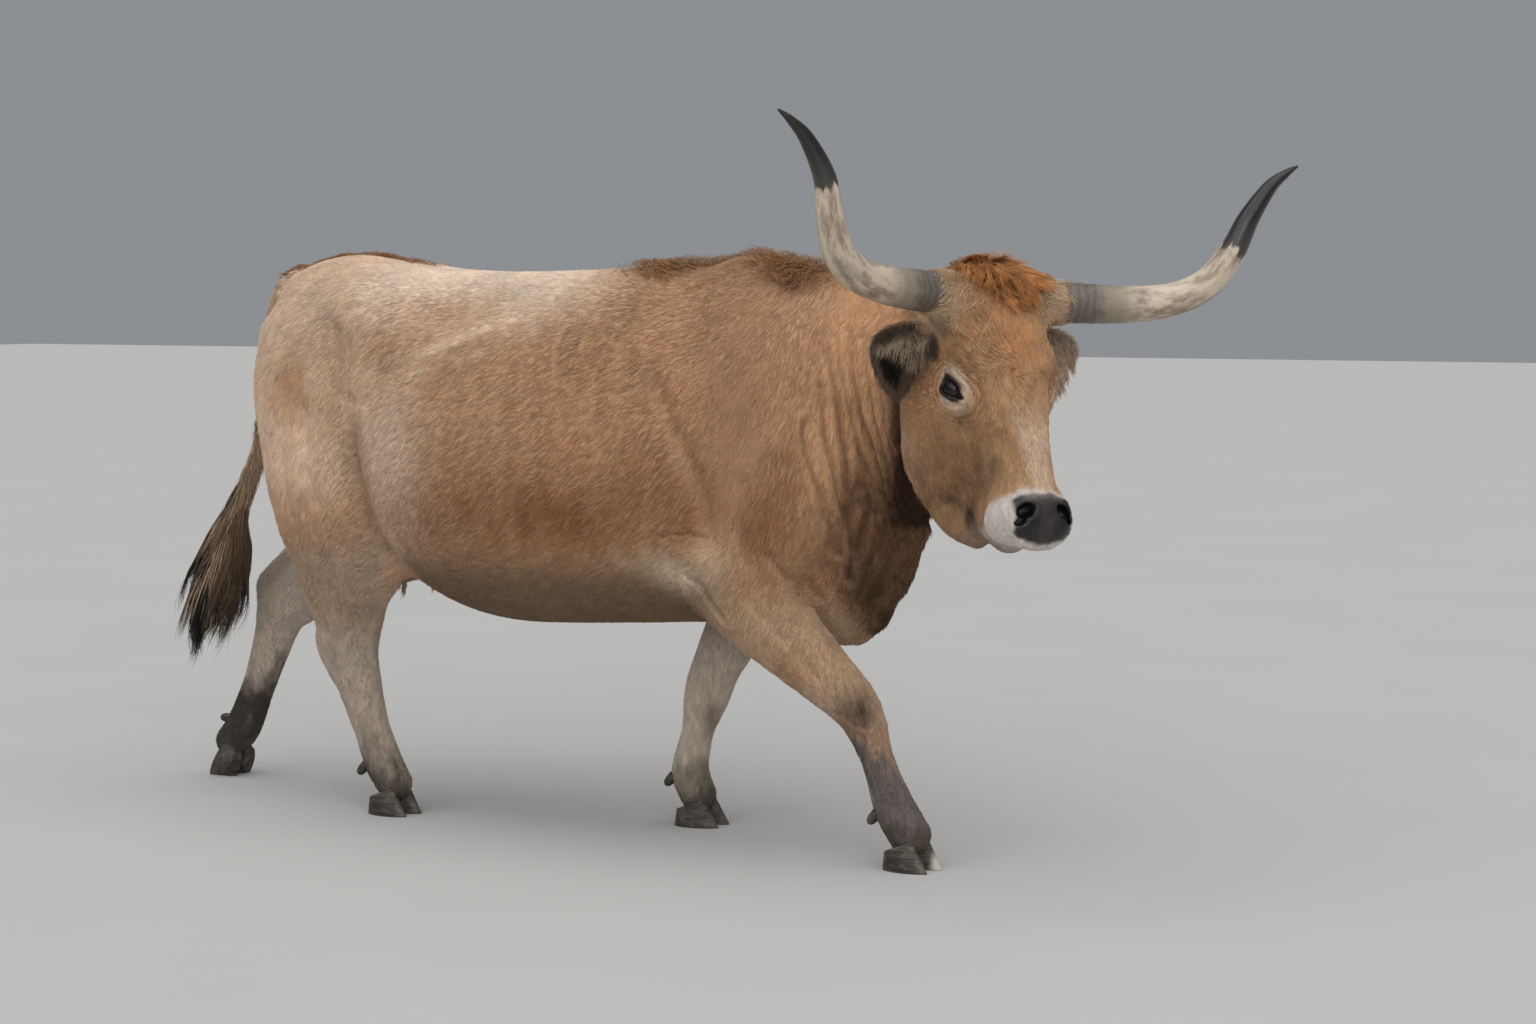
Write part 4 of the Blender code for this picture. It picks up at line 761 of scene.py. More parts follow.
# Skin
grid = Field((
    graded(-1.32, 1.46, 0.86, 1.46), graded(-0.47, 0.47, -0.47, 0.0), graded(0.0, 1.44, 0.8, 1.44)))
for shape, blend in trunk_shapes() + leg_shapes() + head_shapes():
    grid.add(shape, blend)
for fold in FOLDS:
    grid.press(*fold, -1)
    grid.press(*fold, 1)
grid.press(*JAW_FOLD, -1)
for centre, radii in UDDER:
    grid.add(egg(centre, radii), 0.03)
for x, y in TEATS:
    grid.add(limb((
        (x, y, TEAT_TOP, 0.013, 0.013),
        (x, y, TEAT_TOP - TEAT_DROP / 2, 0.0115, 0.0115),
        (x, y, TEAT_TOP - TEAT_DROP, 0.0085, 0.0085),
    ), SIDEWAYS), 0.012)
grid.add(limb(TAIL, SIDEWAYS), 0.015)
for hand in (-1, 1):
    grid.add(ear_shape(hand), 0.01)
for shape, blend in head_carvings():
    grid.carve(shape, blend)
points, quads = surface_net(grid)
del grid


def keep_main(points, quads):
    """Drops loose scraps of the net."""
    label = np.arange(len(points))
    while True:
        low = label[quads].min(1)
        new = label.copy()
        for k in range(4):
            np.minimum.at(new, quads[:, k], low)
            np.minimum.at(new, label[quads[:, k]], low)
        while (new[new] != new).any():
            new = new[new]
        if (new == label).all():
            break
        label = new
    main = np.bincount(label).argmax()
    keep = label == main
    index = np.cumsum(keep) - 1
    return points[keep], index[quads[keep[quads[:, 0]]]]


points, quads = keep_main(points, quads)
eye_near = np.minimum(*(np.linalg.norm(points - eye_centre(hand), axis=1) for hand in (-1, 1)))
calm = np.where(eye_near < 0.045, 0.35, 1.0)
points = relax(points, quads, 3, 0.55, calm)
normals = quad_normals(points, quads)

down, out, side = to_head(points).T
neck_cut = at_head(0.13, -0.215, 0.0)
neck_way = unit(HEAD_AXES[1] * 0.93 + HEAD_AXES[0] * 0.37)
on_head = ramp((points - neck_cut) @ neck_way, -0.03, 0.03) * ramp(points[:, 0], 0.88, 0.94)
ear_mask = np.zeros(len(points))
ear_in = np.zeros(len(points))
ear_t = np.zeros(len(points))
ear_s = np.zeros(len(points))
for hand in (-1, 1):
    cloud, facing, thick, t, s = ear_cloud(hand)
    near_box = ((points > cloud.min(0) - 0.02) & (points < cloud.max(0) + 0.02)).all(1)
    who = np.flatnonzero(near_box)
    near, which = nearest(points[who] - cloud.mean(0), cloud - cloud.mean(0))
    ear_mask[who] = np.maximum(ear_mask[who], ramp(near, 0.016, 0.008) * ramp(t[which], 0.0, 0.12))
    ear_in[who] = ramp((normals[who] * facing[which]).sum(1), -0.1, 0.4)
    ear_t[who] = t[which]
    ear_s[who] = s[which]
tail_gap = limb(TAIL, SIDEWAYS)[2](points[:, 0], points[:, 1], points[:, 2])
on_tail = ramp(tail_gap, 0.012, 0.004) * ramp(points[:, 0], -0.86, -0.885)
x, y, z = points.T

# Folds
CREASES = (
    # neck, from the shoulder to the jaw: path of x and z, width, depth
    (((0.77, 1.0), (0.785, 0.94), (0.823, 0.841), (0.833, 0.761), (0.815, 0.7)), 0.008, 0.007),
    (((0.788, 1.08), (0.815, 0.99), (0.845, 0.9), (0.858, 0.8), (0.838, 0.715)), 0.0075, 0.0085),
    (((0.795, 1.15), (0.825, 1.05), (0.858, 0.94), (0.868, 0.83), (0.846, 0.733), (0.82, 0.64)), 0.009,
     0.012),
    (((0.812, 1.19), (0.845, 1.07), (0.878, 0.95), (0.884, 0.834), (0.872, 0.753), (0.849, 0.67)), 0.0085,
     0.0105),
    (((0.839, 1.205), (0.875, 1.073), (0.899, 0.961), (0.903, 0.87), (0.898, 0.778), (0.874, 0.707)), 0.01,
     0.015),
    (((0.884, 1.19), (0.915, 1.074), (0.926, 0.962), (0.928, 0.871), (0.926, 0.8)), 0.0095, 0.0125),
    (((0.935, 1.12), (0.952, 1.04), (0.95, 0.96), (0.948, 0.89), (0.96, 0.83)), 0.011, 0.014),
    (((0.86, 0.7), (0.846, 0.62), (0.812, 0.58)), 0.01, 0.009),
    (((0.9, 0.74), (0.885, 0.67), (0.868, 0.61)), 0.01, 0.007),
    # wrinkles over the ribs and shoulder
    (((0.157, 1.224), (0.15, 1.167), (0.17, 1.087)), 0.0075, 0.0018),
    (((0.3, 1.24), (0.276, 1.167), (0.262, 1.088)), 0.0075, 0.002),
    (((0.263, 0.952), (0.261, 0.884), (0.248, 0.827)), 0.007, 0.0016),
    (((0.34, 1.0), (0.342, 0.9)), 0.008, 0.0014),
    (((0.22, 1.2), (0.214, 1.12), (0.228, 1.04)), 0.0075, 0.0015),
    # elbow
    (((0.493, 0.646), (0.54, 0.631), (0.556, 0.6), (0.589, 0.541)), 0.006, 0.007),
    (((0.42, 0.73), (0.48, 0.745), (0.53, 0.735)), 0.006, 0.004),
    # shoulder muscles
    (((0.63, 0.86), (0.625, 0.76), (0.65, 0.68)), 0.016, 0.004),
    (((0.7, 0.7), (0.73, 0.64), (0.745, 0.6)), 0.011, 0.004),
    # thigh
    (((-0.6, 1.0), (-0.59, 0.88), (-0.57, 0.78)), 0.02, 0.0045),
    (((-0.69, 0.96), (-0.67, 0.84), (-0.645, 0.74)), 0.014, 0.003),
)
LEG_CREASES = (
    # tendon grooves: path of x and z, width, depth, side
    (((-0.628, 0.6), (-0.62, 0.52), (-0.62, 0.44)), 0.0135, 0.013, -1),
    (((-0.565, 0.64), (-0.58, 0.56), (-0.598, 0.47)), 0.012, 0.0035, -1),
    (((-0.56, 0.33), (-0.53, 0.23), (-0.503, 0.14)), 0.007, 0.0035, -1),
    (((-0.93, 0.62), (-1.0, 0.545), (-1.03, 0.47)), 0.012, 0.006, 1),
    (((-1.068, 0.38), (-1.1, 0.26)), 0.007, 0.003, 1),
    (((0.88, 0.3), (0.905, 0.22), (0.935, 0.15)), 0.0065, 0.0032, -1),
    (((0.83, 0.345), (0.87, 0.318), (0.9, 0.315)), 0.006, 0.003, -1),
    (((0.65, 0.6), (0.74, 0.5), (0.8, 0.42)), 0.013, 0.0035, -1),
    (((0.3, 0.3), (0.278, 0.22), (0.262, 0.15)), 0.0065, 0.0032, 1),
    (((0.42, 0.6), (0.37, 0.48), (0.33, 0.4)), 0.012, 0.003, 1),
)
lift = np.zeros(len(points))
body_part = 1 - on_head
for path, wide, sink in CREASES:
    wander = path_gap(x + 0.004 * noise(points, 9.0, 5), z + 0.004 * noise(points, 9.0, 6), path)
    crease = np.exp(-(wander / wide) ** 2) - 0.35 * np.exp(-((wander - 2.2 * wide) / (1.3 * wide)) ** 2)
    fade = ramp(np.abs(y + 0.04 * (x > 0.75)), 0.02, 0.05)
    lift -= sink * crease * body_part * fade * (1 - 0.75 * ramp(z, 0.98, 1.16) * (x > 0.72))
for path, wide, sink, hand in LEG_CREASES:
    gap = path_gap(x, z, path)
    lift -= sink * np.exp(-(gap / wide) ** 2) * ramp(y * hand, 0.115, 0.135)
neck = ramp(x, 0.74, 0.82) * ramp(x, 1.12, 1.02) * ramp(z, 1.2, 1.0) * ramp(z, 0.56, 0.66) * body_part
wave = (x + 0.1 * (z - 1.0) + rough(points, 5.0, 1) * 0.02) / 0.017
lift += neck * 0.0007 * np.sin(2 * math.pi * wave)
brisket = ramp(x, 0.8, 0.85) * ramp(z, 0.8, 0.72) * ramp(np.abs(y), 0.085, 0.065) * ramp(z, 0.5, 0.54)
lift += brisket * 0.0025 * np.sin(2 * math.pi * (x - 0.35 * z + rough(points, 5.0, 1) * 0.02) / 0.045)
trunk_side = ramp(z, 0.5, 0.62) * ramp(z, 1.3, 1.18) * body_part * ramp(x, 0.75, 0.6) * ramp(x, -0.85, -0.75)
ribs = ramp(x, -0.1, 0.02) * ramp(x, 0.42, 0.3) * ramp(z, 0.62, 0.75)
rib_wave = np.sin(2 * math.pi * (x + 0.2 * (z - 0.9) + 0.02 * noise(points, 4.0, 7)) / 0.075)
lift += trunk_side * ribs * 0.0014 * rib_wave
lift += trunk_side * 0.0016 * rough(points * np.array((1.0, 1.0, 0.45)), 16.0, 9)
lift += body_part * ramp(z, 0.5, 0.4) * 0.0007 * rough(points, 40.0, 12)
# Face: wrinkles round the eye, hollow of the temple, ridge of the cheek, veins
for hand in (-1, 1):
    axes = lid_axes(hand)
    local = (points - eye_centre(hand)) @ axes.T
    ring = np.linalg.norm(local / np.array((1.35, 1.0, 0.95)), axis=1)
    above = ramp(local[:, 2] * hand, -0.004, 0.012)
    around = ramp(ring, 0.082, 0.056) * ramp(ring, 0.028, 0.036)
    wrinkles = np.sin(2 * math.pi * (ring - 0.032 + 0.002 * noise(points, 30.0, 15)) / 0.0095)
    lift += around * (0.0006 + 0.0008 * above) * wrinkles
    lift -= 0.0045 * bump_at(points, at_head(0.11, -0.07, 0.115 * hand), (0.03, 0.03, 0.03))
    lift -= 0.004 * bump_at(points, at_head(0.262, -0.075, 0.1 * hand), (0.045, 0.03, 0.03))
    lift += 0.0025 * bump_at(points, at_head(0.255, -0.12, 0.1 * hand), (0.055, 0.022, 0.03))
    vein = path_gap(down, out, ((0.25, -0.06), (0.31, -0.052), (0.36, -0.07), (0.41, -0.06)))
    lift += on_head * 0.0016 * np.exp(-(vein / 0.004) ** 2) * (side * hand > 0.03)
    for path, edge in (
            (((0.085, 0.03), (0.12, 0.055), (0.155, 0.07)), -0.02),
            (((0.075, 0.045), (0.112, 0.072), (0.14, 0.085)), -0.03)):
        brow = path_gap(down, side * hand, path)
        lift -= on_head * 0.0012 * np.exp(-(brow / 0.003) ** 2) * (out > edge)
muzzle = ramp(down, 0.455, 0.485) * ramp(out, -0.12, -0.09) * on_head
lift += on_head * (1 - muzzle) * 0.0009 * rough(points, 26.0, 14)
points = points + normals * lift[:, None]

# Coat depth, lie and markings
leg_low = ramp(z, 0.62, 0.4)
pad_edge = 0.004 * noise(points, 60.0, 43)
nose_pad = (on_head * ramp(down + pad_edge, 0.466, 0.476) * ramp(np.abs(side), 0.072, 0.064)
            * ramp(out + pad_edge, -0.01, 0.0))
udder_gap = np.minimum(*(egg(c, r)[2](x, y, z) for c, r in UDDER))
bare = ramp(udder_gap, 0.012, 0.002) * ramp(z, 0.645, 0.615)
lid_rim = np.zeros(len(points))
eye_ring = np.zeros(len(points))
for hand in (-1, 1):
    axes = lid_axes(hand)
    local = (points - eye_centre(hand)) @ axes.T
    ball = np.linalg.norm(local, axis=1)
    slot_gap = np.sqrt((local[:, 0] / 0.05) ** 2 + (local[:, 2] / 0.024) ** 2)
    lid_rim = np.maximum(lid_rim, ramp(slot_gap, 1.12, 0.9) * ramp(ball, 0.048, 0.04) * (local[:, 1] > 0.004))
    ring_gap = np.sqrt((local[:, 0] / 0.064) ** 2 + (local[:, 2] / 0.042) ** 2)
    eye_ring = np.maximum(eye_ring, ramp(ring_gap, 1.32, 0.74) * ramp(ball, 0.075, 0.055)
                          * (local[:, 1] > -0.01))

depth = 0.005 * (1 - on_head) * (1 - leg_low * 0.45) + on_head * 0.0018
depth = depth * (1 - nose_pad) * (1 - bare) * (1 - lid_rim) * (1 - 0.7 * ear_mask)
points = points - normals * depth[:, None]
normals = quad_normals(points, quads)

# Lie of the coat
front = ramp(x, 0.45, 0.72)
rump = ramp(x, -0.42, -0.62) * ramp(z, 1.3, 1.0)
legs = ramp(z, 0.66, 0.46) * np.maximum(
    ramp(x, 0.42, 0.5), np.maximum(ramp(x, -0.34, -0.42), ramp(z, 0.49, 0.47)))
flow = np.tile(np.array((-0.8, 0.0, -0.58)), (len(points), 1))
for mask, along, rise in (
        (ramp(z, 0.8, 0.58), -0.93, -0.22),  # belly
        (ramp(z, 1.2, 1.34), -0.95, -0.15),  # back
        (front, -0.3, -0.95),
        (rump, -0.35, -0.93),
        (legs, -0.12, -0.99),
        (ramp(x, -0.72, -0.86) * ramp(z, 0.7, 0.6), -0.55, -0.83),  # far hind leg
        (on_tail, -0.2, -0.98)):
    flow = flow * (1 - mask[:, None]) + np.array((along, 0.0, rise)) * mask[:, None]
# On the head it parts at the forehead whorl
whorl = at_head(0.205, 0.064, -0.022)
away = points - whorl
away_down, away_out, away_side = (away @ HEAD_AXES.T).T
spin = np.exp(-(np.linalg.norm(away, axis=1) / 0.05) ** 2)
head_flow = (HEAD_AXES[0] * ramp(away_down, -0.04, 0.05)[:, None] * 1.2
             - HEAD_AXES[0] * ramp(away_down, 0.03, -0.08)[:, None] * 1.0
             + HEAD_AXES[2] * np.clip(away_side / 0.1, -1, 1)[:, None] * 0.75
             - HEAD_AXES[1] * ramp(-away_out, 0.03, 0.16)[:, None] * 0.9
             + np.cross(normals, units(away + 1e-6)) * spin[:, None] * 0.9)
flow = flow * (1 - on_head[:, None]) + head_flow * on_head[:, None]
for hand in (-1, 1):
    who = ear_mask * (side * hand > 0)
    way = ear_surface(np.array([0.5]), np.array([0.0]), hand)[2]
    flow = flow * (1 - who[:, None]) + (way - HEAD_UP * 0.4) * who[:, None]
flow += (rough(points, 9.0, 21)[:, None] * np.array((0.1, 0.05, -0.1))
         + noise(points, 14.0, 25)[:, None] * np.array((0.06, 0.1, 0.06)))
flow = laid(flow, normals)

# Markings, with painted shade in folds, hollows and under the neck and belly, and painted highlights on
# ridges
mottle = rough(points, 7.0, 31)
streak = rough(points * np.array((1.0, 1.0, 0.5)), 20.0, 35)
tone = np.tile(linear((178, 140, 108)), (len(points), 1))


def tint(colour, mask):
    global tone
    mask = np.clip(mask, 0, 1)[:, None]
    tone = tone * (1 - mask) + linear(colour) * mask


def spot(x_at, z_at, x_reach, z_reach, hand=0):
    """Soft spot seen from the side, on one flank or both."""
    gap = np.hypot((x - x_at) / x_reach, (z - z_at) / z_reach)
    return np.exp(-1.5 * gap ** 2) * (ramp(y * hand, 0.0, 0.05) if hand else 1.0)


def along_path(path, wide):
    """Soft line seen from the side."""
    return np.exp(-(path_gap(x, z, path) / wide) ** 2)


def head_spot(place, reach, hand=1):
    """Soft spot on the head, its place given down the face, out of it and to the side."""
    return on_head * bump_at(points, at_head(place[0], place[1], place[2] * hand), reach)


# Trunk: pale rump and loin, redder shoulder and low barrel, and painted shade that darkens the low barrel and
# the belly
tint((222, 202, 182), ramp(z, 1.14, 1.33) * ramp(x, 0.34, 0.0))
tint((214, 188, 164), ramp(x, -0.28, -0.55) * ramp(z, 0.66, 0.9))
tint((222, 198, 176), spot(-0.3, 0.9, 0.13, 0.26) * 0.85)
tint((188, 150, 117), spot(-0.63, 1.06, 0.11, 0.14) * (0.65 + 0.5 * mottle))
# Painted shade in the groove behind the hip bone
tint((186, 152, 122), spot(-0.5, 1.08, 0.05, 0.22) * 0.7)
# Painted shadow along the crease where the flank meets the thigh
tint((150, 122, 98), along_path(FOLDS[0][0], 0.03) * ramp(z, 1.05, 0.9) * 0.9)
# Painted highlights along the raised folds of the flank
tint((200, 176, 152), along_path(FOLDS[1][0], 0.016) * 0.6)
tint((206, 180, 154), along_path(FOLDS[3][0], 0.02) * 0.9)
# Painted shade in the hollow in front of the hip bone
tint((176, 140, 110), spot(-0.2, 1.24, 0.12, 0.05) * 0.6)
# Painted highlights along the edge of the hip bone and the ridges of the flank
for ridge_path in (
        ((-0.26, 1.13), (-0.12, 1.19), (0.02, 1.235)),
        ((-0.27, 1.09), (-0.15, 1.13), (-0.04, 1.15)),
        ((-0.47, 1.24), (-0.44, 1.12), (-0.43, 1.0))):
    tint((214, 188, 162), along_path(ridge_path, 0.013) * np.clip(0.55 + 0.5 * streak, 0, 1))
tint((176, 134, 100), ramp(x, 0.0, 0.22) * ramp(z, 1.28, 1.12) * ramp(z, 0.66, 0.78) * (0.75 + 0.35 * mottle))
# Lower barrel: redder, and darker as painted shade of the underside
tint((134, 94, 64), spot(0.08, 0.77, 0.44, 0.125) * (0.8 + 0.3 * mottle + 0.25 * streak))
tint((136, 95, 64), spot(0.43, 0.83, 0.15, 0.16) * (0.6 + 0.3 * mottle + 0.25 * streak))
tint((124, 88, 58), spot(0.68, 0.775, 0.075, 0.06) * 0.6)
tint((186, 144, 112), spot(0.56, 1.18, 0.16, 0.12))
tint((188, 146, 112), spot(0.62, 0.95, 0.16, 0.2) * 0.85)
tint((198, 154, 116), ramp(x, 0.74, 0.84) * ramp(z, 0.74, 0.9) * body_part)
# Painted shade on the brisket under the neck
tint((116, 84, 58), ramp(x, 0.8, 0.9) * ramp(z, 0.82, 0.72) * ramp(z, 0.56, 0.62) * body_part * 0.8)
tint((126, 82, 48), spot(0.73, 0.82, 0.09, 0.2) * (0.75 + 0.6 * mottle))
# Painted shadow of the head on the neck, along the fold behind the jaw
tint((46, 28, 13), (along_path(JAW_FOLD[0], 0.03) + spot(0.93, 0.8, 0.08, 0.12)) * body_part * 0.95)
# Painted shade in the creases of the neck
for path, wide, sink in CREASES[:9]:
    tint((84, 54, 34), along_path(path, wide * 0.68) * body_part * min(1.0, sink / 0.012)
         * ramp(z, 1.22, 0.98) * 0.62)
# Painted shade in the wrinkles over the ribs, shoulder and elbow
for path, wide, sink in CREASES[9:16]:
    tint((134, 98, 68), along_path(path, 1.4 * wide) * body_part * 0.35 * np.clip(0.6 + streak, 0, 1))
tint((196, 166, 140), spot(0.4, 0.665, 0.12, 0.035) * 0.9)
tint((208, 182, 156), spot(0.565, 0.66, 0.055, 0.11) * 0.75)
tint((196, 166, 138), spot(0.5, 0.62, 0.06, 0.05) * 0.7)
# Darker belly: painted shade of the underside
tint((112, 92, 70), ramp(z, 0.72, 0.58) * ramp(x, -0.36, -0.28) * ramp(x, 0.66, 0.52) * 0.9)
tint((224, 200, 176), spot(0.46, 0.64, 0.08, 0.055) * 0.9)
# Painted shadow on the brisket under the neck, with reddish streaks
tint((62, 44, 27), ramp(x, 0.76, 0.84) * ramp(z, 0.76, 0.64) * ramp(z, 0.48, 0.52) * (0.8 + 0.3 * streak))
# Legs: paler downward, then mud
fore_near = ramp(x, 0.48, 0.56) * ramp(y, 0.0, -0.05)
fore_far = ramp(x, 0.16, 0.22) * ramp(x, 0.62, 0.56) * ramp(y, 0.02, 0.06)
hind_near = ramp(x, -0.36, -0.42) * ramp(y, 0.0, -0.05)
hind_far_leg = ramp(x, -0.36, -0.46) * ramp(y, 0.0, 0.05)
tint((182, 152, 124), fore_near * ramp(z, 0.66, 0.54)
     * (1 - ramp(x + 0.45 * (z - 0.5), 0.8, 0.84) * ramp(z, 0.46, 0.5)))
tint((172, 132, 100), fore_near * spot(0.74, 0.44, 0.06, 0.05) * 0.7)
tint((188, 174, 159), fore_far * ramp(z, 0.6, 0.46))
tint((172, 148, 126), hind_near * ramp(z, 0.76, 0.6))
tint((168, 153, 138), hind_near * ramp(z, 0.5, 0.4))
tint((180, 166, 152), hind_far_leg * ramp(z, 0.74, 0.58))

splash = 0.034 * streak + 0.026 * rough(points * np.array((1, 1, 0.25)), 70.0, 44)
tint((150, 120, 96), fore_near * ramp(z, 0.36, 0.31) * (0.6 + 0.5 * streak))
tint((92, 86, 84), fore_near * ramp(z + splash + 0.5 * (x - 0.92), 0.29, 0.215) * 0.95)
tint((124, 116, 100), fore_far * ramp(z + splash + 0.5 * (0.29 - x), 0.215, 0.13) * 0.95)
tint((124, 114, 103), hind_near * ramp(z + splash, 0.23, 0.1) * 0.85)
tint((50, 43, 37), hind_far_leg * ramp(z + 1.6 * splash, 0.345, 0.195) * 0.95)
tint((84, 76, 68), ramp(z + splash, 0.115, 0.07) * ramp(x, -1.4, -1.3))
tint((68, 54, 44), bump_at(points, (0.874, -0.155, 0.35), (0.05, 0.05, 0.062)) * (0.85 + 0.6 * streak))
tint((92, 76, 62), bump_at(points, (0.345, 0.09, 0.24), (0.026, 0.06, 0.085)) * (0.6 + 0.5 * streak))
tint((176, 160, 146), fore_near * ramp(x + 0.5 * (z - 0.25), 0.868, 0.846) * ramp(z, 0.42, 0.34)
     * ramp(z, 0.13, 0.17) * 0.75)
# Dark line of the back, rusty tuft over the tail, darker hair of the withers
line = ramp(np.abs(y), 0.032, 0.01) * ramp(x, -0.34, -0.55) * ramp(z, 1.27, 1.33)
tint((156, 118, 84), line * (0.6 + 0.5 * streak))
tint((156, 112, 74), ramp(np.abs(y), 0.09, 0.03) * ramp(x, 0.14, 0.24) * ramp(x, 0.92, 0.8)
     * ramp(z, 1.26, 1.33) * (0.6 + 0.5 * mottle))
tint((116, 84, 58), spot(0.3, 1.27, 0.055, 0.05) * (0.35 + 0.6 * streak))
tint((112, 80, 54), spot(0.66, 1.31, 0.075, 0.03) * (0.35 + 0.6 * streak))
tint((184, 156, 130), on_tail)
tint((168, 144, 120), on_tail * ramp(z, 1.0, 0.78) * (0.7 + 0.5 * streak))
tint((52, 42, 36), on_tail * ramp(z, 0.7, 0.6))
tint((150, 112, 94), bare * 0.9)
tint((70, 54, 46), bare * ramp(z, 0.57, 0.552))
# Head
tint((176, 138, 102), on_head)
tint((178, 122, 76), head_spot((-0.01, 0.05, 0.01), (0.08, 0.12, 0.08)) * 1.1)
tint((178, 124, 80), head_spot((0.14, 0.07, 0.0), (0.11, 0.07, 0.055)) * 0.85)
tint((178, 138, 102), on_head * ramp(np.abs(side), 0.06, 0.085) * ramp(down, 0.1, 0.16)
     * ramp(down, 0.36, 0.28))
tint((156, 108, 66), bump_at(points, whorl, (0.016, 0.016, 0.016)) * 0.8)
tint((186, 158, 130), on_head * ramp(np.abs(side), 0.095, 0.125) * ramp(down, 0.12, 0.03))
tint((148, 114, 84), on_head * ramp(np.abs(side), 0.06, 0.09) * ramp(down, 0.2, 0.28)
     * ramp(out, -0.01, -0.07) * 0.85)
tint((176, 148, 120), on_head * ramp(out, -0.17, -0.22) * ramp(down, 0.34, 0.2) * 0.7)
tint((204, 180, 158), on_head * ramp(down, 0.24, 0.36) * ramp(out, 0.03, 0.048) * 0.85)
SMUDGES = (
    # place on the head, reach and strength
    ((0.372, -0.046, 0.074), (0.042, 0.04, 0.034), 1.5),
    ((0.408, -0.075, 0.076), (0.04, 0.038, 0.032), 1.2),
    ((0.355, -0.12, 0.078), (0.05, 0.05, 0.03), 0.6),
    ((0.44, -0.15, 0.07), (0.038, 0.045, 0.036), 1.5),
    ((0.425, -0.115, 0.074), (0.022, 0.05, 0.032), 1.2),
    ((0.39, -0.175, 0.06), (0.045, 0.03, 0.04), 0.7),
)
BROW_LINES = (
    ((0.06, 0.124), (0.101, 0.108), (0.135, 0.093)),
    ((0.118, 0.116), (0.165, 0.104), (0.196, 0.089), (0.235, 0.079)),
    ((0.125, 0.124), (0.168, 0.115), (0.202, 0.103)),
)
for hand in (-1, 1):
    for place, reach, share in SMUDGES:
        tint((54, 39, 29), head_spot(place, reach, hand) * share * (0.7 + 0.45 * streak))
    tint((120, 92, 70), head_spot((0.265, -0.05, 0.1), (0.03, 0.022, 0.03), hand) * 0.6)
    # Painted shade in the wrinkles of the brow
    for wrinkle in BROW_LINES:
        gap = path_gap(down, side * hand, wrinkle)
        tint((116, 84, 58), on_head * np.exp(-(gap / 0.0036) ** 2) * (out > -0.04) * 0.5)
grime = np.clip(0.5 + 0.9 * rough(points, 34.0, 47), 0, 1)
tint((118, 90, 66), on_head * ramp(np.abs(side), 0.045, 0.075) * ramp(down, 0.23, 0.33)
     * ramp(out, 0.03, 0.0) * grime * 0.5)
tint((134, 104, 76), on_head * ramp(down, 0.26, 0.1) * ramp(out, 0.02, 0.05)
     * np.clip(0.4 + 0.8 * rough(points, 26.0, 48), 0, 1) * 0.45)
tint((208, 187, 164), eye_ring * (0.82 + 0.2 * noise(points, 90.0, 49)))
edge = 0.01 * noise(points, 30.0, 41) + 0.006 * streak
band_at = 0.453 + 0.026 * ramp(out, -0.03, -0.11) + 0.008 * ramp(np.abs(side), 0.055, 0.0)
band = ramp(down + edge - band_at, -0.01, 0.014) * on_head * ramp(out, -0.15, -0.115)
tint((206, 198, 190), band)
tint((176, 160, 148), band * ramp(out, -0.06, -0.095) * 0.8)
tint((120, 104, 94), on_head * ramp(out, -0.105, -0.13) * ramp(down, 0.43, 0.47) * 0.7)
tint((24, 21, 21), nose_pad)
# Painted highlight along the top of the nose pad
tint((128, 116, 110), nose_pad * ramp(down, 0.49, 0.47) * ramp(np.abs(side), 0.06, 0.03) * 0.8)
tint((96, 84, 80), nose_pad * ramp(np.abs(side), 0.03, 0.006) * 0.25)
# Painted shade inside the nostrils
for hand in (-1, 1):
    nostril_shade = np.minimum(bump_at(points, at_head(0.505, 0.016, 0.047 * hand), (0.03, 0.028, 0.025)) * 2.0, 1.0)
    tint((16, 14, 15), nostril_shade * nose_pad)
tint((28, 21, 18), lid_rim)
tint((104, 86, 70), ear_mask)
tint((204, 180, 158), ear_mask * (side > 0))
tint((92, 76, 64), ear_mask * ramp(np.abs(ear_s), 0.6, 0.95) * np.where(side > 0, 0.15, 0.9))
# Painted shade in the hollow of the ear
tint((26, 20, 17), ear_mask * ear_in * ramp(np.abs(ear_s), 0.8, 0.4) * ramp(ear_t, 0.97, 0.85)
     * ramp(ear_t, 0.1, 0.3) * np.where(side > 0, 0.1, 1.0))
tint((170, 140, 112), ear_mask * (1 - ear_in) * ramp(ear_t, 0.45, 0.05) * 0.7)
tone *= (1 + 0.07 * mottle + 0.05 * streak)[:, None]
tone = np.clip(tone, 0.002, 1)

# From the design's own frame to the solids' frame
SHIFT = np.array((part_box("eye_right")[0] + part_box("eye_right")[1])) / 2 - eye_centre(-1)


# Mesh helpers
def mesh_object(name, places, faces, smooth=True):
    """An object from arrays of points and equal-sided faces, in the frame of the solids."""
    sides = faces.shape[1]
    mesh = bpy.data.meshes.new(name)
    mesh.vertices.add(len(places))
    mesh.vertices.foreach_set("co", (places + SHIFT).astype(np.float32).ravel())
    mesh.loops.add(faces.size)
    mesh.loops.foreach_set("vertex_index", faces.astype(np.int32).ravel())
    mesh.polygons.add(len(faces))
    mesh.polygons.foreach_set("loop_start", np.arange(0, faces.size, sides, dtype=np.int32))
    mesh.polygons.foreach_set("loop_total", np.full(len(faces), sides, np.int32))
    mesh.update(calc_edges=True)
    mesh.polygons.foreach_set("use_smooth", np.full(len(faces), smooth))
    made = bpy.data.objects.new(name, mesh)
    bpy.context.scene.collection.objects.link(made)
    return made


def colour_points(thing, colours, name="tone"):
    layer = thing.data.color_attributes.new(name, 'FLOAT_COLOR', 'POINT')
    full = np.ones((len(colours), 4), np.float32)
    full[:, :3] = colours
    layer.data.foreach_set("color", full.ravel())


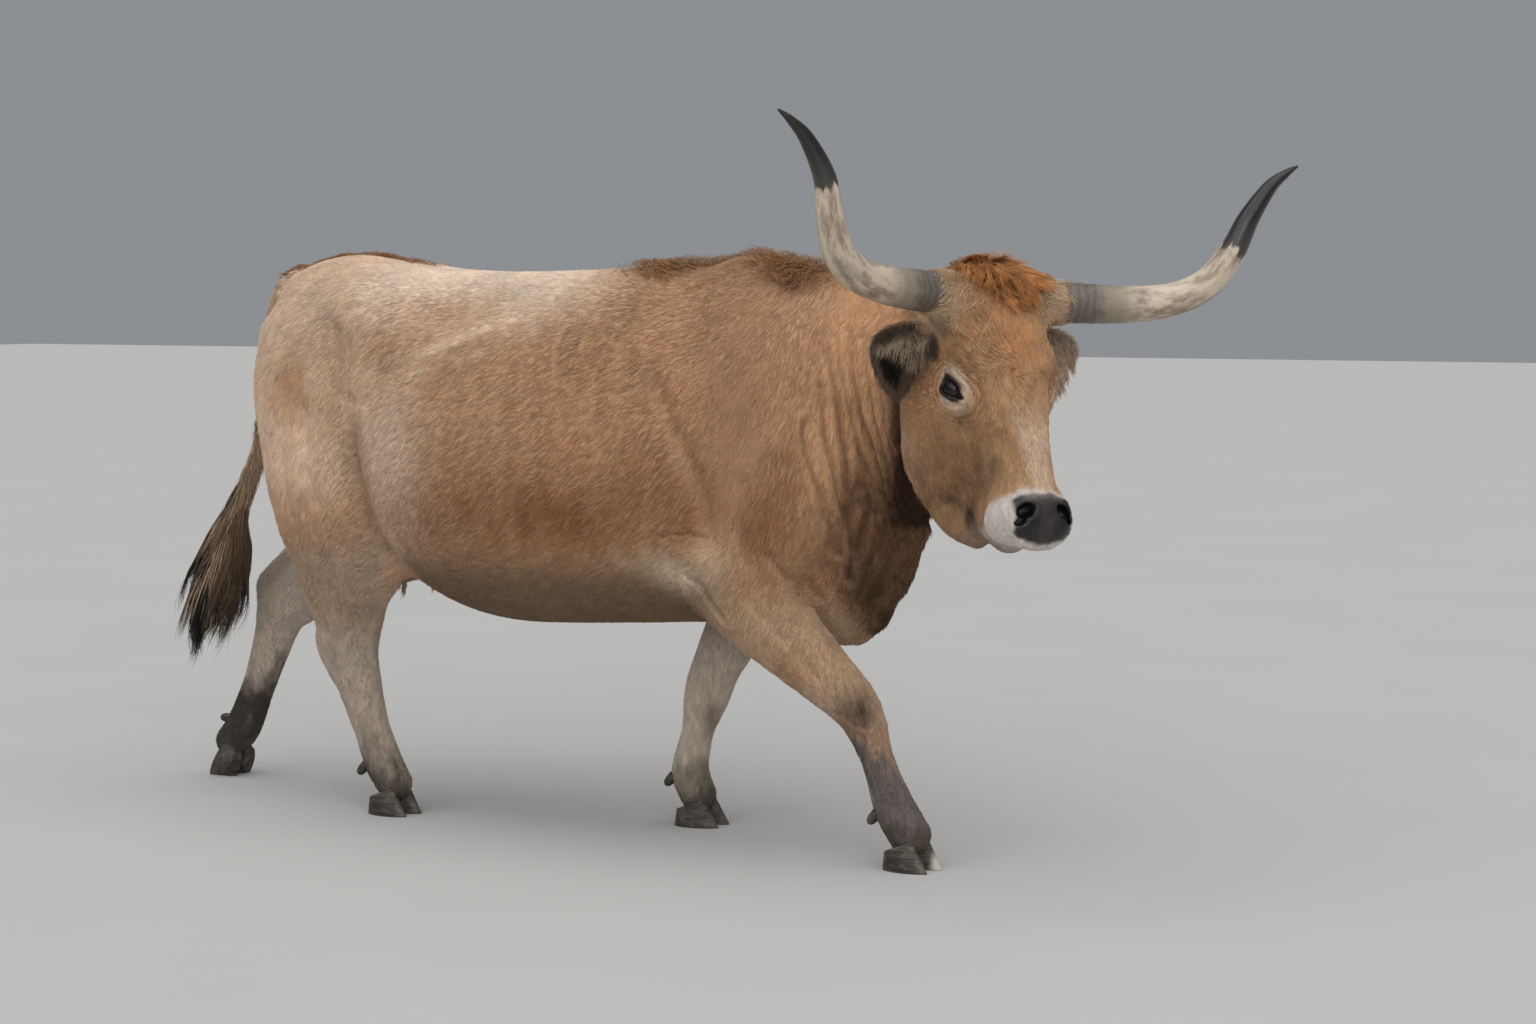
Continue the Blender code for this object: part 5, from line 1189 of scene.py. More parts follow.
def vector_points(thing, values, name):
    layer = thing.data.attributes.new(name, 'FLOAT_VECTOR', 'POINT')
    layer.data.foreach_set("vector", values.astype(np.float32).ravel())


def float_points(thing, values, name):
    layer = thing.data.attributes.new(name, 'FLOAT', 'POINT')
    layer.data.foreach_set("value", values.astype(np.float32))


def dress(thing, surface, slot_name, *nodes):
    """Material and body of a piece, and the nodes of the solids that it stands in for; slot_name is not used.
    """
    thing.data.materials.append(surface)
    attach(thing, "root")
    if nodes:
        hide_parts(*nodes)


def material(name, rough_value, specular):
    made = bpy.data.materials.new(name)
    made.use_nodes = True
    tree = made.node_tree
    shader = tree.nodes["Principled BSDF"]
    shader.inputs["Roughness"].default_value = rough_value
    shader.inputs["Specular IOR Level"].default_value = specular
    return made, tree, shader


def attribute(tree, name):
    node = tree.nodes.new("ShaderNodeAttribute")
    node.attribute_name = name
    return node


def noise_node(tree, vector, scale, detail=3.0, roughness=0.5):
    node = tree.nodes.new("ShaderNodeTexNoise")
    node.inputs["Scale"].default_value = scale
    node.inputs["Detail"].default_value = detail
    node.inputs["Roughness"].default_value = roughness
    tree.links.new(vector, node.inputs["Vector"])
    return node.outputs["Fac"]


def scaled(tree, vector, factors):
    node = tree.nodes.new("ShaderNodeVectorMath")
    node.operation = 'MULTIPLY'
    node.inputs[1].default_value = factors
    tree.links.new(vector, node.inputs[0])
    return node.outputs[0]


def math_node(tree, operation, a, b):
    node = tree.nodes.new("ShaderNodeMath")
    node.operation = operation
    for slot_index, value in enumerate((a, b)):
        if isinstance(value, (int, float)):
            node.inputs[slot_index].default_value = value
        else:
            tree.links.new(value, node.inputs[slot_index])
    return node.outputs[0]


def times(tree, a, b):
    return math_node(tree, 'MULTIPLY', a, b)


def mix_colour(tree, factor, a, b, blend='MIX'):
    node = tree.nodes.new("ShaderNodeMix")
    node.data_type = 'RGBA'
    node.blend_type = blend
    for key, value in (("Factor", factor), ("A", a), ("B", b)):
        kind = 'VALUE' if key == "Factor" else 'RGBA'
        socket = [s for s in node.inputs if s.name == key and s.type == kind][0]
        if isinstance(value, (int, float)):
            socket.default_value = value
        elif isinstance(value, (tuple, list, np.ndarray)):
            socket.default_value = (*[float(c) for c in value], 1.0)
        else:
            tree.links.new(value, socket)
    return [s for s in node.outputs if s.type == 'RGBA'][0]


def shaded(tree, tone_in, shade):
    """A tone made darker or lighter by one value."""
    grey = tree.nodes.new("ShaderNodeCombineColor")
    for k in range(3):
        tree.links.new(shade, grey.inputs[k])
    return mix_colour(tree, 1.0, tone_in, grey.outputs[0], 'MULTIPLY')


def bump(tree, shader, height, strength, distance):
    node = tree.nodes.new("ShaderNodeBump")
    node.inputs["Strength"].default_value = strength
    node.inputs["Distance"].default_value = distance
    tree.links.new(height, node.inputs["Height"])
    tree.links.new(node.outputs["Normal"], shader.inputs["Normal"])


def spread_value(tree, value, lo, hi, out_lo=0.0, out_hi=1.0):
    node = tree.nodes.new("ShaderNodeMapRange")
    node.interpolation_type = 'SMOOTHSTEP'
    node.inputs["From Min"].default_value = lo
    node.inputs["From Max"].default_value = hi
    node.inputs["To Min"].default_value = out_lo
    node.inputs["To Max"].default_value = out_hi
    tree.links.new(value, node.inputs["Value"])
    return node.outputs["Result"]


# Materials
def skin_material():
    made, tree, shader = material("skin", 0.72, 0.25)
    tone_in = attribute(tree, "tone").outputs["Color"]
    grain = attribute(tree, "grain").outputs["Vector"]
    wet = attribute(tree, "wet").outputs["Fac"]
    hairs = noise_node(tree, scaled(tree, grain, (60.0, 420.0, 420.0)), 1.0, 2.0)
    clumps = noise_node(tree, scaled(tree, grain, (28.0, 95.0, 95.0)), 1.0, 3.0)
    pores = tree.nodes.new("ShaderNodeTexVoronoi")
    pores.inputs["Scale"].default_value = 330.0
    place = tree.nodes.new("ShaderNodeTexCoord")
    tree.links.new(place.outputs["Object"], pores.inputs["Vector"])
    fur_height = math_node(tree, 'ADD', times(tree, hairs, 0.5),
                           times(tree, clumps, 0.9))
    dry = math_node(tree, 'SUBTRACT', 1.0, wet)
    pitted = times(tree, pores.outputs["Distance"], wet)
    height = math_node(tree, 'ADD', times(tree, fur_height, dry),
                       times(tree, pitted, 0.35))
    bump(tree, shader, height, 0.75, 0.004)
    colour = shaded(tree, tone_in, spread_value(tree, clumps, 0.3, 0.7, 0.8, 1.16))
    tree.links.new(colour, shader.inputs["Base Color"])
    tree.links.new(spread_value(tree, wet, 0.0, 1.0, 0.74, 0.24), shader.inputs["Roughness"])
    tree.links.new(spread_value(tree, wet, 0.0, 1.0, 0.25, 0.42), shader.inputs["Specular IOR Level"])
    return made


def coat_material(name, rough_value=0.62, specular=0.28):
    made, tree, shader = material(name, rough_value, specular)
    tone_in = attribute(tree, "tone").outputs["Color"]
    place = tree.nodes.new("ShaderNodeTexCoord")
    fine = noise_node(tree, place.outputs["Object"], 160.0, 2.0)
    colour = shaded(tree, tone_in, spread_value(tree, fine, 0.25, 0.75, 0.9, 1.1))
    tree.links.new(colour, shader.inputs["Base Color"])
    return made


# The skin piece
skin = mesh_object("skin", points, quads)
colour_points(skin, tone)
# Coordinates that run along and across the lie, from one fixed direction per patch of the body
lead = units(np.stack([
    -0.75 + 0.55 * front + 0.5 * rump + 0.6 * legs,
    np.zeros(len(points)),
    -0.62 - 0.35 * front - 0.3 * rump - 0.38 * legs], 1))
lead = units(lead * (1 - on_head[:, None]) + HEAD_AXES[0] * on_head[:, None])
lead_side = units(np.cross(lead, np.array(SIDEWAYS) * (1 - on_head[:, None]) + HEAD_AXES[2]
                           * on_head[:, None]))
lead_third = np.cross(lead, lead_side)
grain = np.stack([(points * lead).sum(1), (points * lead_side).sum(1), (points * lead_third).sum(1)], 1)
vector_points(skin, grain, "grain")
float_points(skin, np.clip(nose_pad + lid_rim * 0.8, 0, 1), "wet")
FLESH = [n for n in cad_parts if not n.startswith(("horn", "eye", "claw", "dewclaw", "tail_switch"))]
dress(skin, skin_material(), "coat", *FLESH)


# Tufts
# Tufts of the body and the head: length, width, and how many to a square metre
TUFT_LENGTH = (0.0205, 0.0132)
TUFT_WIDTH = (0.0021, 0.0015)
TUFT_DENSITY = (28000, 98000)
LEG_FINER = 0.0004
LEG_DENSER = 14000
TUFT_SINK = 0.0012
TUFTS_PER_PIECE = 47000
PATCH = 0.0014
draw = np.random.default_rng(17)
tris = np.concatenate([quads[:, [0, 1, 2]], quads[:, [0, 2, 3]]])
corners = points[tris]
areas = np.linalg.norm(np.cross(corners[:, 1] - corners[:, 0], corners[:, 2] - corners[:, 0]), axis=1) / 2
short = 1 - np.clip(nose_pad + bare + lid_rim, 0, 1)
# Length, width, density and stand of the tufts at each point
face_front = on_head * ramp(down, 0.36, 0.46)
length = TUFT_LENGTH[0] * (1 - on_head) + TUFT_LENGTH[1] * on_head
length = length * (1 - 0.5 * face_front) * (1 - 0.42 * leg_low) * (1 - 0.25 * ramp(z, 0.22, 0.12))
length = length + 0.012 * ramp(z, 1.29, 1.34) * ramp(x, 0.2,
                                                     0.34) * ramp(x, 1.1, 0.9) * ramp(np.abs(y), 0.1, 0.03)
length = length * (1 + 0.5 * ear_mask) * (1 - 0.35 * eye_ring)
width = TUFT_WIDTH[0] * (1 - on_head) + TUFT_WIDTH[1] * on_head - LEG_FINER * leg_low * (1 - on_head)
density = (TUFT_DENSITY[0] * (1 - on_head) + TUFT_DENSITY[1] * on_head
           + LEG_DENSER * leg_low * (1 - on_head)) * short
stand = 0.11 + 0.04 * rough(points, 11.0, 51) + 0.14 * ear_mask
stand += (0.3 * bump_at(points, (0.34, -0.02, 1.35), (0.1, 0.12, 0.05))
          + 0.25 * bump_at(points, (0.62, -0.02, 1.34), (0.14, 0.12, 0.05)))
stand -= 0.03 * face_front


def pick(values, index, bary):
    v = values[tris[index]]
    if v.ndim == 2:
        return (v * bary).sum(1)
    return (v * bary[:, :, None]).sum(1)


def scatter(weights, count):
    """Random triangle indices and places in them, spread by area times weight."""
    share = areas * weights[tris].mean(1)
    total = np.cumsum(share)
    at = (np.arange(count) + draw.random(count)) / count * total[-1]
    index = np.searchsorted(total, at)
    a, b = draw.random(count), draw.random(count)
    over = a + b > 1
    a[over], b[over] = 1 - a[over], 1 - b[over]
    return index, np.stack([1 - a - b, a, b], 1)


def bake_map(thing, roots, root_normals, per_tuft_loops):
    """UV patches, each at its root's place on six flat charts of the piece."""
    lo, hi = roots.min(0), roots.max(0)
    span = np.maximum(hi - lo, 1e-3)
    axis = np.abs(root_normals).argmax(1)
    sign = root_normals[np.arange(len(roots)), axis] > 0
    first, second = np.array((1, 0, 0))[axis], np.array((2, 2, 1))[axis]
    rel = (roots - lo) / span
    rows = np.arange(len(roots))
    u = (axis + 0.03 + 0.94 * rel[rows, first]) / 3
    v = (sign + 0.03 + 0.94 * rel[rows, second]) / 2
    base = np.stack([u, v], 1)
    patch = draw.random((per_tuft_loops, 2)) * 0.003 - 0.0015
    patch[:3] = ((-PATCH, -PATCH), (PATCH, -PATCH), (0.0, PATCH))
    uv = (base[:, None, :] + patch[None]).reshape(-1, 2)
    layer = thing.data.uv_layers.new(name="OFBake")
    layer.data.foreach_set("uv", uv.astype(np.float32).ravel())


def tuft_piece(name, root, normal, way, long, wide, tones, bend, slot_name, coat):
    """Straight tufts, each a thin four-sided closed wedge."""
    count = len(root)
    across = units(np.cross(normal, way))
    base = root - normal * TUFT_SINK
    a = base - across * wide[:, None] / 2
    b = base + across * wide[:, None] / 2
    top = base + normal * (wide * 0.26 + TUFT_SINK * 0.9)[:, None]
    tip = root + way * long[:, None] + across * bend[:, None]
    places = np.stack([a, b, top, tip], 1).reshape(-1, 3)
    order = np.array(((0, 3, 1), (1, 3, 2), (2, 3, 0), (0, 1, 2)))
    faces = (np.arange(count)[:, None, None] * 4 + order[None]).reshape(-1, 3)
    made = mesh_object(name, places, faces, smooth=False)
    shades = np.stack([tones * 0.96, tones * 0.96, tones * 1.05, tones * 1.08], 1).reshape(-1, 3)
    colour_points(made, np.clip(shades, 0, 1))
    bake_map(made, root, normal, 12)
    dress(made, coat, slot_name)


coat = coat_material("coat_hair")
count = int((areas * density[tris].mean(1)).sum() * TUFT_SHARE)
index, bary = scatter(density, count)
root = pick(points, index, bary)
root_normal = units(pick(normals, index, bary))
root_flow = pick(flow, index, bary)
root_tone = pick(tone, index, bary)
root_length = pick(length, index, bary) * draw.uniform(0.7, 1.25, count)
root_width = pick(width, index, bary) * draw.uniform(0.75, 1.3, count)
root_stand = pick(stand, index, bary)
# Clumps share a lean and a shade
clump = np.stack([noise(root, 55.0, 61), noise(root, 55.0, 62), noise(root, 55.0, 63)], 1)
shade = 1 + 0.1 * noise(root, 60.0, 64) + 0.09 * noise(root, 24.0, 65) + draw.normal(0, 0.04, count)
shade *= 1 + 0.1 * clump[:, 0]
way = root_flow + clump * 0.2 + draw.normal(0, 0.06, (count, 3))
way = units(laid(way, root_normal) + root_normal
            * np.clip(root_stand + draw.normal(0, 0.03, count), 0.04, 0.9)[:, None])
root_head = pick(on_head, index, bary)
shade *= 1 + root_head * (0.2 * noise(root, 120.0, 66) + 0.1 * noise(root, 48.0, 67))
root_tone = root_tone * shade[:, None]
bend = draw.normal(0, 0.0012, count)

head_side = pick(on_head, index, bary) > 0.5
rx, ry, rz = root.T
group = np.select(
    [head_side, rz < 0.5, (rx < -0.33) & (ry < 0), rx < -0.33, (rx < 0.24) & (ry < 0), rx < 0.24, ry < -0.01],
    [0, 1, 2, 3, 4, 5, 6], 7)
names = ("face", "legs", "rump_right", "rump_left", "barrel_right", "barrel_left", "shoulder_right",
         "shoulder_left")
for g, label in enumerate(names):
    slot_name = "leg_coat" if label == "legs" else "coat"
    who = np.flatnonzero(group == g)
    parts = max(1, math.ceil(len(who) / TUFTS_PER_PIECE))
    for k in range(parts):
        some = who[k::parts]
        if len(some):
            tuft_piece("coat_%s_%d" % (label, k + 1), root[some], root_normal[some], way[some],
                       root_length[some], root_width[some], root_tone[some], bend[some], slot_name, coat)


# Long hair
def rooted(weight, count):
    """Roots spread over the skin by weight, its facing there, and their triangles and places in them."""
    index, bary = scatter(weight, count)
    return pick(points, index, bary), units(pick(normals, index, bary)), index, bary


def strand_piece(name, starts, normal, lines, widths, depths, tones, slot_name, surface,
                 nodes=(), shades=(0.62, 1.17)):
    """Bent tapering locks: lines holds their points, root to tip, and shades their tone at both ends."""
    count, rings = lines.shape[:2]
    wide = draw.uniform(*widths, count)
    thick = draw.uniform(*depths, count)
    ways = units(np.gradient(lines, axis=1))
    across = units(np.cross(normal[:, None], ways))
    rise = np.cross(ways, across)
    t = np.linspace(0, 1, rings)
    taper = (0.55 + 0.9 * t - 1.4 * t * t)[None, :, None]
    half = wide[:, None, None] / 2 * np.maximum(taper, 0.04)
    deep = thick[:, None, None] / 2 * np.maximum(taper, 0.04)
    a = lines - across * half
    b = lines + across * half
    c = lines + rise * deep * 2
    places = np.stack([a, b, c], 2).reshape(-1, 3)
    order = []
    for k in range(rings - 1):
        for s in range(3):
            n = (s + 1) % 3
            lo_s, lo_n, hi_s, hi_n = k * 3 + s, k * 3 + n, k * 3 + 3 + s, k * 3 + 3 + n
            order += [(lo_s, hi_s, lo_n), (lo_n, hi_s, hi_n)]
    last = (rings - 1) * 3
    order += [(0, 1, 2), (last, last + 2, last + 1)]
    order = np.array(order)
    faces = (np.arange(count)[:, None, None] * rings * 3 + order[None]).reshape(-1, 3)
    made = mesh_object(name, places, faces, smooth=True)
    grade = (shades[0] + (shades[1] - shades[0]) * t)[None, :, None, None]
    graded_tones = np.broadcast_to(tones[:, None, None, :] * grade, (count, rings, 3, 3)).reshape(-1, 3)
    colour_points(made, np.clip(graded_tones, 0, 1))
    bake_map(made, starts, normal, len(order) * 3)
    hair = coat_material(name if "hair" in name else name + "_hair", *surface)
    dress(made, hair, slot_name, *nodes)


STRAND_SINK = 0.002


def wavy_lines(start, normal, lie, long, rings, lift, curl, turns, phase, pull=0.0):
    """Strands that wave along their lie, lift off the skin and are pulled together towards the tip."""
    across = np.cross(normal, lie)
    lines = []
    for k in np.linspace(0, 1, rings):
        wave = 2 * math.pi * turns * k + phase
        lines.append(start - normal * STRAND_SINK
                     + lie * (long * (k - 0.12 * k * k))[:, None]
                     + normal * (long * lift * (k - 0.85 * k * k)
                                 + curl * 0.7 * (np.cos(wave) - np.cos(phase)) * k ** 0.5)[:, None]
                     + across * (curl * (np.sin(wave) - np.sin(phase)) * k ** 0.5)[:, None]
                     + pull * (0.6 * k))
    return np.stack(lines, 1)


def guided(start, guide):
    """Nearest guide of each root, and the way to it."""
    near, which = nearest(start - guide.mean(0), guide - guide.mean(0))
    return which, guide[which] - start


# Forelock: curly clumps that fall from the poll over the brow
FORELOCK_CLUMPS = 130
mop_edge = 0.03 - 0.06 * ramp(np.abs(side - 0.008), 0.02, 0.074)
mop = (on_head * ramp(np.abs(side - 0.008), 0.074, 0.06) * ramp(down, mop_edge, mop_edge - 0.014)
       * ramp(down, -0.102, -0.078) * (out > -0.075))
guide = rooted(mop, FORELOCK_CLUMPS)[0]
guide_head = to_head(guide)
guide_fan = (0.1 + np.clip((guide_head[:, 2] + 0.015) / 0.075, -1, 1) * 0.6 + 0.75 * noise(guide, 17.0, 70)
             + draw.normal(0, 0.1, FORELOCK_CLUMPS))
guide_long = (0.046 + 0.03 * ramp(guide_head[:, 0], 0.03, -0.05)) * draw.uniform(0.8, 1.25, FORELOCK_CLUMPS)
guide_phase = 2 * math.pi * noise(guide, 16.0, 71) + draw.normal(0, 0.3, FORELOCK_CLUMPS)
guide_turns = draw.uniform(0.85, 1.25, FORELOCK_CLUMPS)
guide_shade = np.clip(1 + draw.normal(0, 0.24, FORELOCK_CLUMPS), 0.62, 1.5)
guide_rise = draw.uniform(0.7, 1.3, FORELOCK_CLUMPS)
lock_count = int(4100 * TUFT_SHARE)
start, normal, index, bary = rooted(mop, lock_count)
local = to_head(start)
mine, pull = guided(start, guide)
fan = guide_fan[mine] + draw.normal(0, 0.06, lock_count)
lie = HEAD_AXES[0] * np.cos(fan)[:, None] + HEAD_AXES[2] * np.sin(fan)[:, None]
lie = laid(lie, normal)
long = guide_long[mine] * draw.uniform(0.8, 1.15, lock_count)
lift = (0.34 + 0.22 * ramp(local[:, 0], 0.02, -0.06)) * guide_rise[mine]
lines = wavy_lines(start, normal, lie, long, 8, lift, 0.0064 * draw.uniform(0.85, 1.15, lock_count),
                   guide_turns[mine], guide_phase[mine] + draw.normal(0, 0.12, lock_count), pull)
shade = guide_shade[mine] * (1 + draw.normal(0, 0.12, lock_count))
orange = linear((196, 132, 74)) * shade[:, None]
pale = linear((214, 172, 128)) * shade[:, None]
edge = np.clip(ramp(np.abs(local[:, 2]), 0.066, 0.104) * 0.75 + 0.5 * (draw.random(lock_count) < 0.1), 0,
               1)[:, None]
# Roots darker than the tips: painted shade inside the mop
strand_piece("forelock", start, normal, lines, (0.0012, 0.0022), (0.0006, 0.001),
             orange * (1 - edge) + pale * edge, "coat", (0.5, 0.35), shades=(0.55, 1.2))

# Cream hair round the roots of the horns
for hand, label in ((-1, "right"), (1, "left")):
    horn_root = at_horn(*HORN[0][:3], hand)
    horn_way = unit(at_horn(*HORN[1][:3], hand) - horn_root)
    off = points - horn_root
    reach = np.linalg.norm(off - horn_way * (off @ horn_way)[:, None], axis=1)
    weight = (on_head * (side * hand > 0) * ramp(reach, 0.086, 0.062) * (1 - ear_mask)
              * ramp(np.linalg.norm(off, axis=1), 0.1, 0.08))
    collar_count = int(1050 * TUFT_SHARE)
    start, normal, index, bary = rooted(weight, collar_count)
    local = to_head(start)
    lie = laid(horn_way * 0.75 + HEAD_AXES[0] * 0.55 + noise(start, 45.0, 75)[:, None] * HEAD_AXES[0] * 0.5
               + draw.normal(0, 0.12, (collar_count, 3)), normal)
    long = draw.uniform(0.016, 0.03, collar_count)
    lines = wavy_lines(start, normal, lie, long, 5, 0.55, 0.0018,
                       draw.uniform(0.6, 1.1, collar_count), 7 * noise(start, 30.0, 76))
    cream = linear((224, 198, 166)) * (1 + 0.24 * noise(start, 70.0, 77)
                                       + draw.normal(0, 0.08, collar_count))[:, None]
    rust = ramp(noise(start, 40.0, 78) + 0.6 * ramp(local[:, 0], 0.0, -0.06), 0.15, 0.65)[:, None] * 0.75
    strand_piece("collar_hair_" + label, start, normal, lines, (0.0012, 0.0023), (0.0006, 0.001),
                 cream * (1 - rust) + linear((176, 116, 66)) * rust, "coat", (0.55, 0.3))

# Long hair down the tail, then the switch
tail_rows = smooth_curve(TAIL, 8)


def tail_roots(count, top, foot, bunch):
    """Roots on the tail between two heights, more of them towards the foot where bunch is under one."""
    core = tail_rows[(tail_rows[:, 2] < top) & (tail_rows[:, 2] > foot)]
    at = draw.random(count) ** bunch * (len(core) - 1.001)
    low = at.astype(int)
    row = core[low] + (core[low + 1] - core[low]) * (at - low)[:, None]
    way = units(core[low + 1, :3] - core[low, :3])
    back = units(np.cross(way, SIDEWAYS))
    angle = draw.uniform(0, 2 * math.pi, count)
    radial = back * np.cos(angle)[:, None] + np.array(SIDEWAYS) * np.sin(angle)[:, None]
    return row[:, :3] + radial * (row[:, 3] * 0.88)[:, None], radial, way


dock_count = int(1800 * TUFT_SHARE)
start, radial, way = tail_roots(dock_count, 1.02, 0.58, 0.62)
low_part = ramp(start[:, 2], 0.86, 0.64)
long = (0.05 + 0.175 * low_part) * draw.uniform(0.65, 1.2, dock_count)
lie = units(way + radial * (0.06 + 0.1 * low_part)[:, None] + draw.normal(0, 0.035, (dock_count, 3)))
lines = wavy_lines(start, radial, lie, long, 6, 0.05 + 0.04 * low_part, 0.004
                   * draw.uniform(0.5, 1.4, dock_count),
                   draw.uniform(0.5, 1.0, dock_count), 8 * noise(start, 24.0, 87))
brown = linear((190, 164, 136)) * (1 + 0.3 * noise(start, 50.0, 88)
                                   + draw.normal(0, 0.12, dock_count))[:, None]
dark = linear((78, 62, 50)) * (1 + draw.normal(0, 0.15, dock_count))[:, None]
deep = np.clip(ramp(noise(start, 26.0, 89) + 0.3 * low_part - 0.5 * radial[:, 0] - 0.4, 0.0, 0.5), 0,
               1)[:, None]
strand_piece("tail_hair", start, radial, lines, (0.0018, 0.0036), (0.0009, 0.0016),
             np.clip(brown * (1 - deep) + dark * deep, 0.003, 1), "long_hair", (0.52, 0.32))

SWITCH_CLUMPS = 58
switch_count = int(2100 * TUFT_SHARE)
guide, guide_radial = tail_roots(SWITCH_CLUMPS, 0.76, 0.51, 0.85)[:2]
start, radial = tail_roots(switch_count, 0.76, 0.51, 0.85)[:2]
mine, pull = guided(start, guide)
guide_bottom = 0.365 + 0.15 * draw.random(SWITCH_CLUMPS) ** 1.1
guide_splay = draw.uniform(0.0, 0.2, SWITCH_CLUMPS)
guide_sweep = draw.uniform(-0.16, 0.14, SWITCH_CLUMPS)
guide_phase = draw.uniform(0, 2 * math.pi, SWITCH_CLUMPS)
guide_light = draw.random(SWITCH_CLUMPS)
long = np.maximum(start[:, 2] - guide_bottom[mine] + 0.02 * draw.normal(0, 1, switch_count), 0.06) / 0.93
fall = unit((-0.3, 0.0, -0.95))
lines = []
for k in np.linspace(0, 1, 8):
    wave = 2 * math.pi * 1.5 * k + guide_phase[mine]
    lines.append(start + fall * (long * k)[:, None]
                 + guide_radial[mine] * (long * guide_splay[mine] * np.sin(2.0 * k))[:, None]
                 + np.array((-1.0, 0.0, 0.0)) * (long * guide_sweep[mine] * k * k)[:, None]
                 + pull * (0.45 * k)
                 + np.array((1.0, 0.0, 0.3)) * (0.0065 * np.sin(wave) * k ** 0.5)[:, None]
                 + np.array(SIDEWAYS) * (0.0065 * np.cos(wave) * k ** 0.5)[:, None]
                 + radial * (0.012 * math.sin(math.pi * k)))
lines = np.stack(lines, 1)
dark = linear((28, 22, 19)) * (1 + draw.normal(0, 0.18, switch_count))[:, None]
brown = linear((116, 94, 74)) * (1 + draw.normal(0, 0.15, switch_count))[:, None]
light = ramp(guide_light[mine] + 0.62 * ramp(start[:, 2], 0.6, 0.7) + 0.22 * radial[:, 0]
             + 0.1 * draw.normal(0, 1, switch_count), 0.62, 0.92)[:, None] * 0.9
strand_piece("switch", start, radial, lines, (0.0024, 0.0044), (0.0011, 0.002),
             np.clip(dark * (1 - light) + brown * light, 0.003, 1), "long_hair", (0.5, 0.35),
             ("tail_switch",), shades=(1.25, 0.1))

# Hair in and round the ears: a curtain across the opening, a fringe on the rim
for hand, label in ((-1, "right"), (1, "left")):
    mine_ear = ear_mask * (side * hand > 0)
    middle = (points * mine_ear[:, None]).sum(0) / mine_ear.sum()
    high = ramp(points[:, 2] - middle[2], -0.015, 0.045)
    rim_part = ramp(np.abs(ear_s), 0.62, 0.92)
    tip_part = ramp(ear_t, 0.8, 0.95)
    far_ear = hand == 1
    near_root = ear_in * ramp(ear_t, 0.62, 0.22)
    weight = mine_ear * np.clip(1.3 * ear_in * high * ramp(ear_t, 0.85, 0.55) + 1.2 * near_root
                                + 1.1 * rim_part + 0.9 * tip_part + 0.35 * (1 - ear_in), 0, 3)
    ear_count = int((1400 if far_ear else 2900) * TUFT_SHARE)
    start, normal, index, bary = rooted(weight, ear_count)
    ss, inner, up_part, root_part = (pick(v, index, bary) for v in (ear_s, ear_in, high, near_root))
    way = ear_surface(np.array([0.5]), np.array([0.0]), hand)[2]
    curtain = np.maximum(inner * up_part, root_part) * ramp(np.abs(ss), 1.0, 0.8)
    lie = laid(way * (0.65 - 0.4 * root_part)[:, None] - UP * (0.55 + 0.6 * curtain)[:, None]
               + draw.normal(0, 0.24, (ear_count, 3)), normal, 0.85)
    long = 0.013 + (0.016 if far_ear else 0.03) * curtain + 0.012 * root_part
    long = (long + 0.007 * ramp(np.abs(ss), 0.6, 0.95)) * draw.uniform(0.7, 1.25, ear_count)
    lines = wavy_lines(start, normal, lie, long, 5, 0.5 + 0.1 * curtain, 0.0014,
                       draw.uniform(0.4, 0.8, ear_count), 6 * noise(start, 40.0, 92))
    lines -= UP * (long[:, None] * 0.22 * np.linspace(0, 1, 5) ** 2)[:, :, None]
    base = np.ones((ear_count, 1)) * linear((214, 190, 168) if far_ear else (112, 94, 79))
    mixed = ramp(noise(start, 60.0, 91) + 0.5 * root_part, -0.45, 0.35)[:, None] * curtain[:, None]
    tones = base * (1 - mixed) + linear((206, 184, 158)) * mixed
    rim = (ramp(np.abs(ss), 0.7, 0.95) * ramp(noise(start, 45.0, 93), -0.6, 0.5)
           * (0.2 if far_ear else 0.8))[:, None]
    tones = tones * (1 - rim) + linear((78, 64, 53)) * rim
    tones *= (1 + 0.3 * noise(start, 110.0, 99) + draw.normal(0, 0.14, ear_count))[:, None]
    strand_piece("ear_hair_" + label, start, normal, lines, (0.0013, 0.0025), (0.0006, 0.0011),
                 np.clip(tones, 0.003, 1), "ear_coat", (0.6, 0.25))

# Ruffled darker tufts on the withers and a rusty crest over the root of the tail
back_gap = np.abs(y + 0.006 * noise(points, 12.0, 53))
crest = body_part * (np.abs(y) < 0.1) * (
    bump_at(points, (0.31, -0.03, 1.325), (0.075, 0.07, 0.045))
    + bump_at(points, (0.63, -0.04, 1.335), (0.09, 0.07, 0.04))
    + 0.45 * ramp(x, 0.2, 0.3) * ramp(x, 0.86, 0.76) * ramp(np.abs(y), 0.06, 0.02) * ramp(z, 1.29, 1.32)
    + 1.5 * ramp(x, -0.34, -0.54) * ramp(x, -0.88, -0.82) * ramp(back_gap, 0.04, 0.01) * ramp(z, 1.26, 1.3))
crest_count = int(2700 * TUFT_SHARE)
start, normal, index, bary = rooted(crest, crest_count)
lie = laid(units(pick(flow, index, bary) + draw.normal(0, 0.28, (crest_count, 3))
                 + noise(start, 28.0, 94)[:, None] * np.array((0.0, 0.5, 0.3))), normal)
on_croup = ramp(start[:, 0], -0.3, -0.4)
long = (0.04 - 0.01 * on_croup) * draw.uniform(0.7, 1.3, crest_count)
lines = wavy_lines(start, normal, lie, long, 4, 1.8 - 0.9 * on_croup + 0.6 * noise(start, 30.0, 95), 0.0014,
                   draw.uniform(0.4, 0.8, crest_count), 6 * noise(start, 30.0, 96))
tones = linear((166, 122, 82)) * (1 + 0.25 * noise(start, 60.0, 97)
                                  + draw.normal(0, 0.1, crest_count))[:, None]
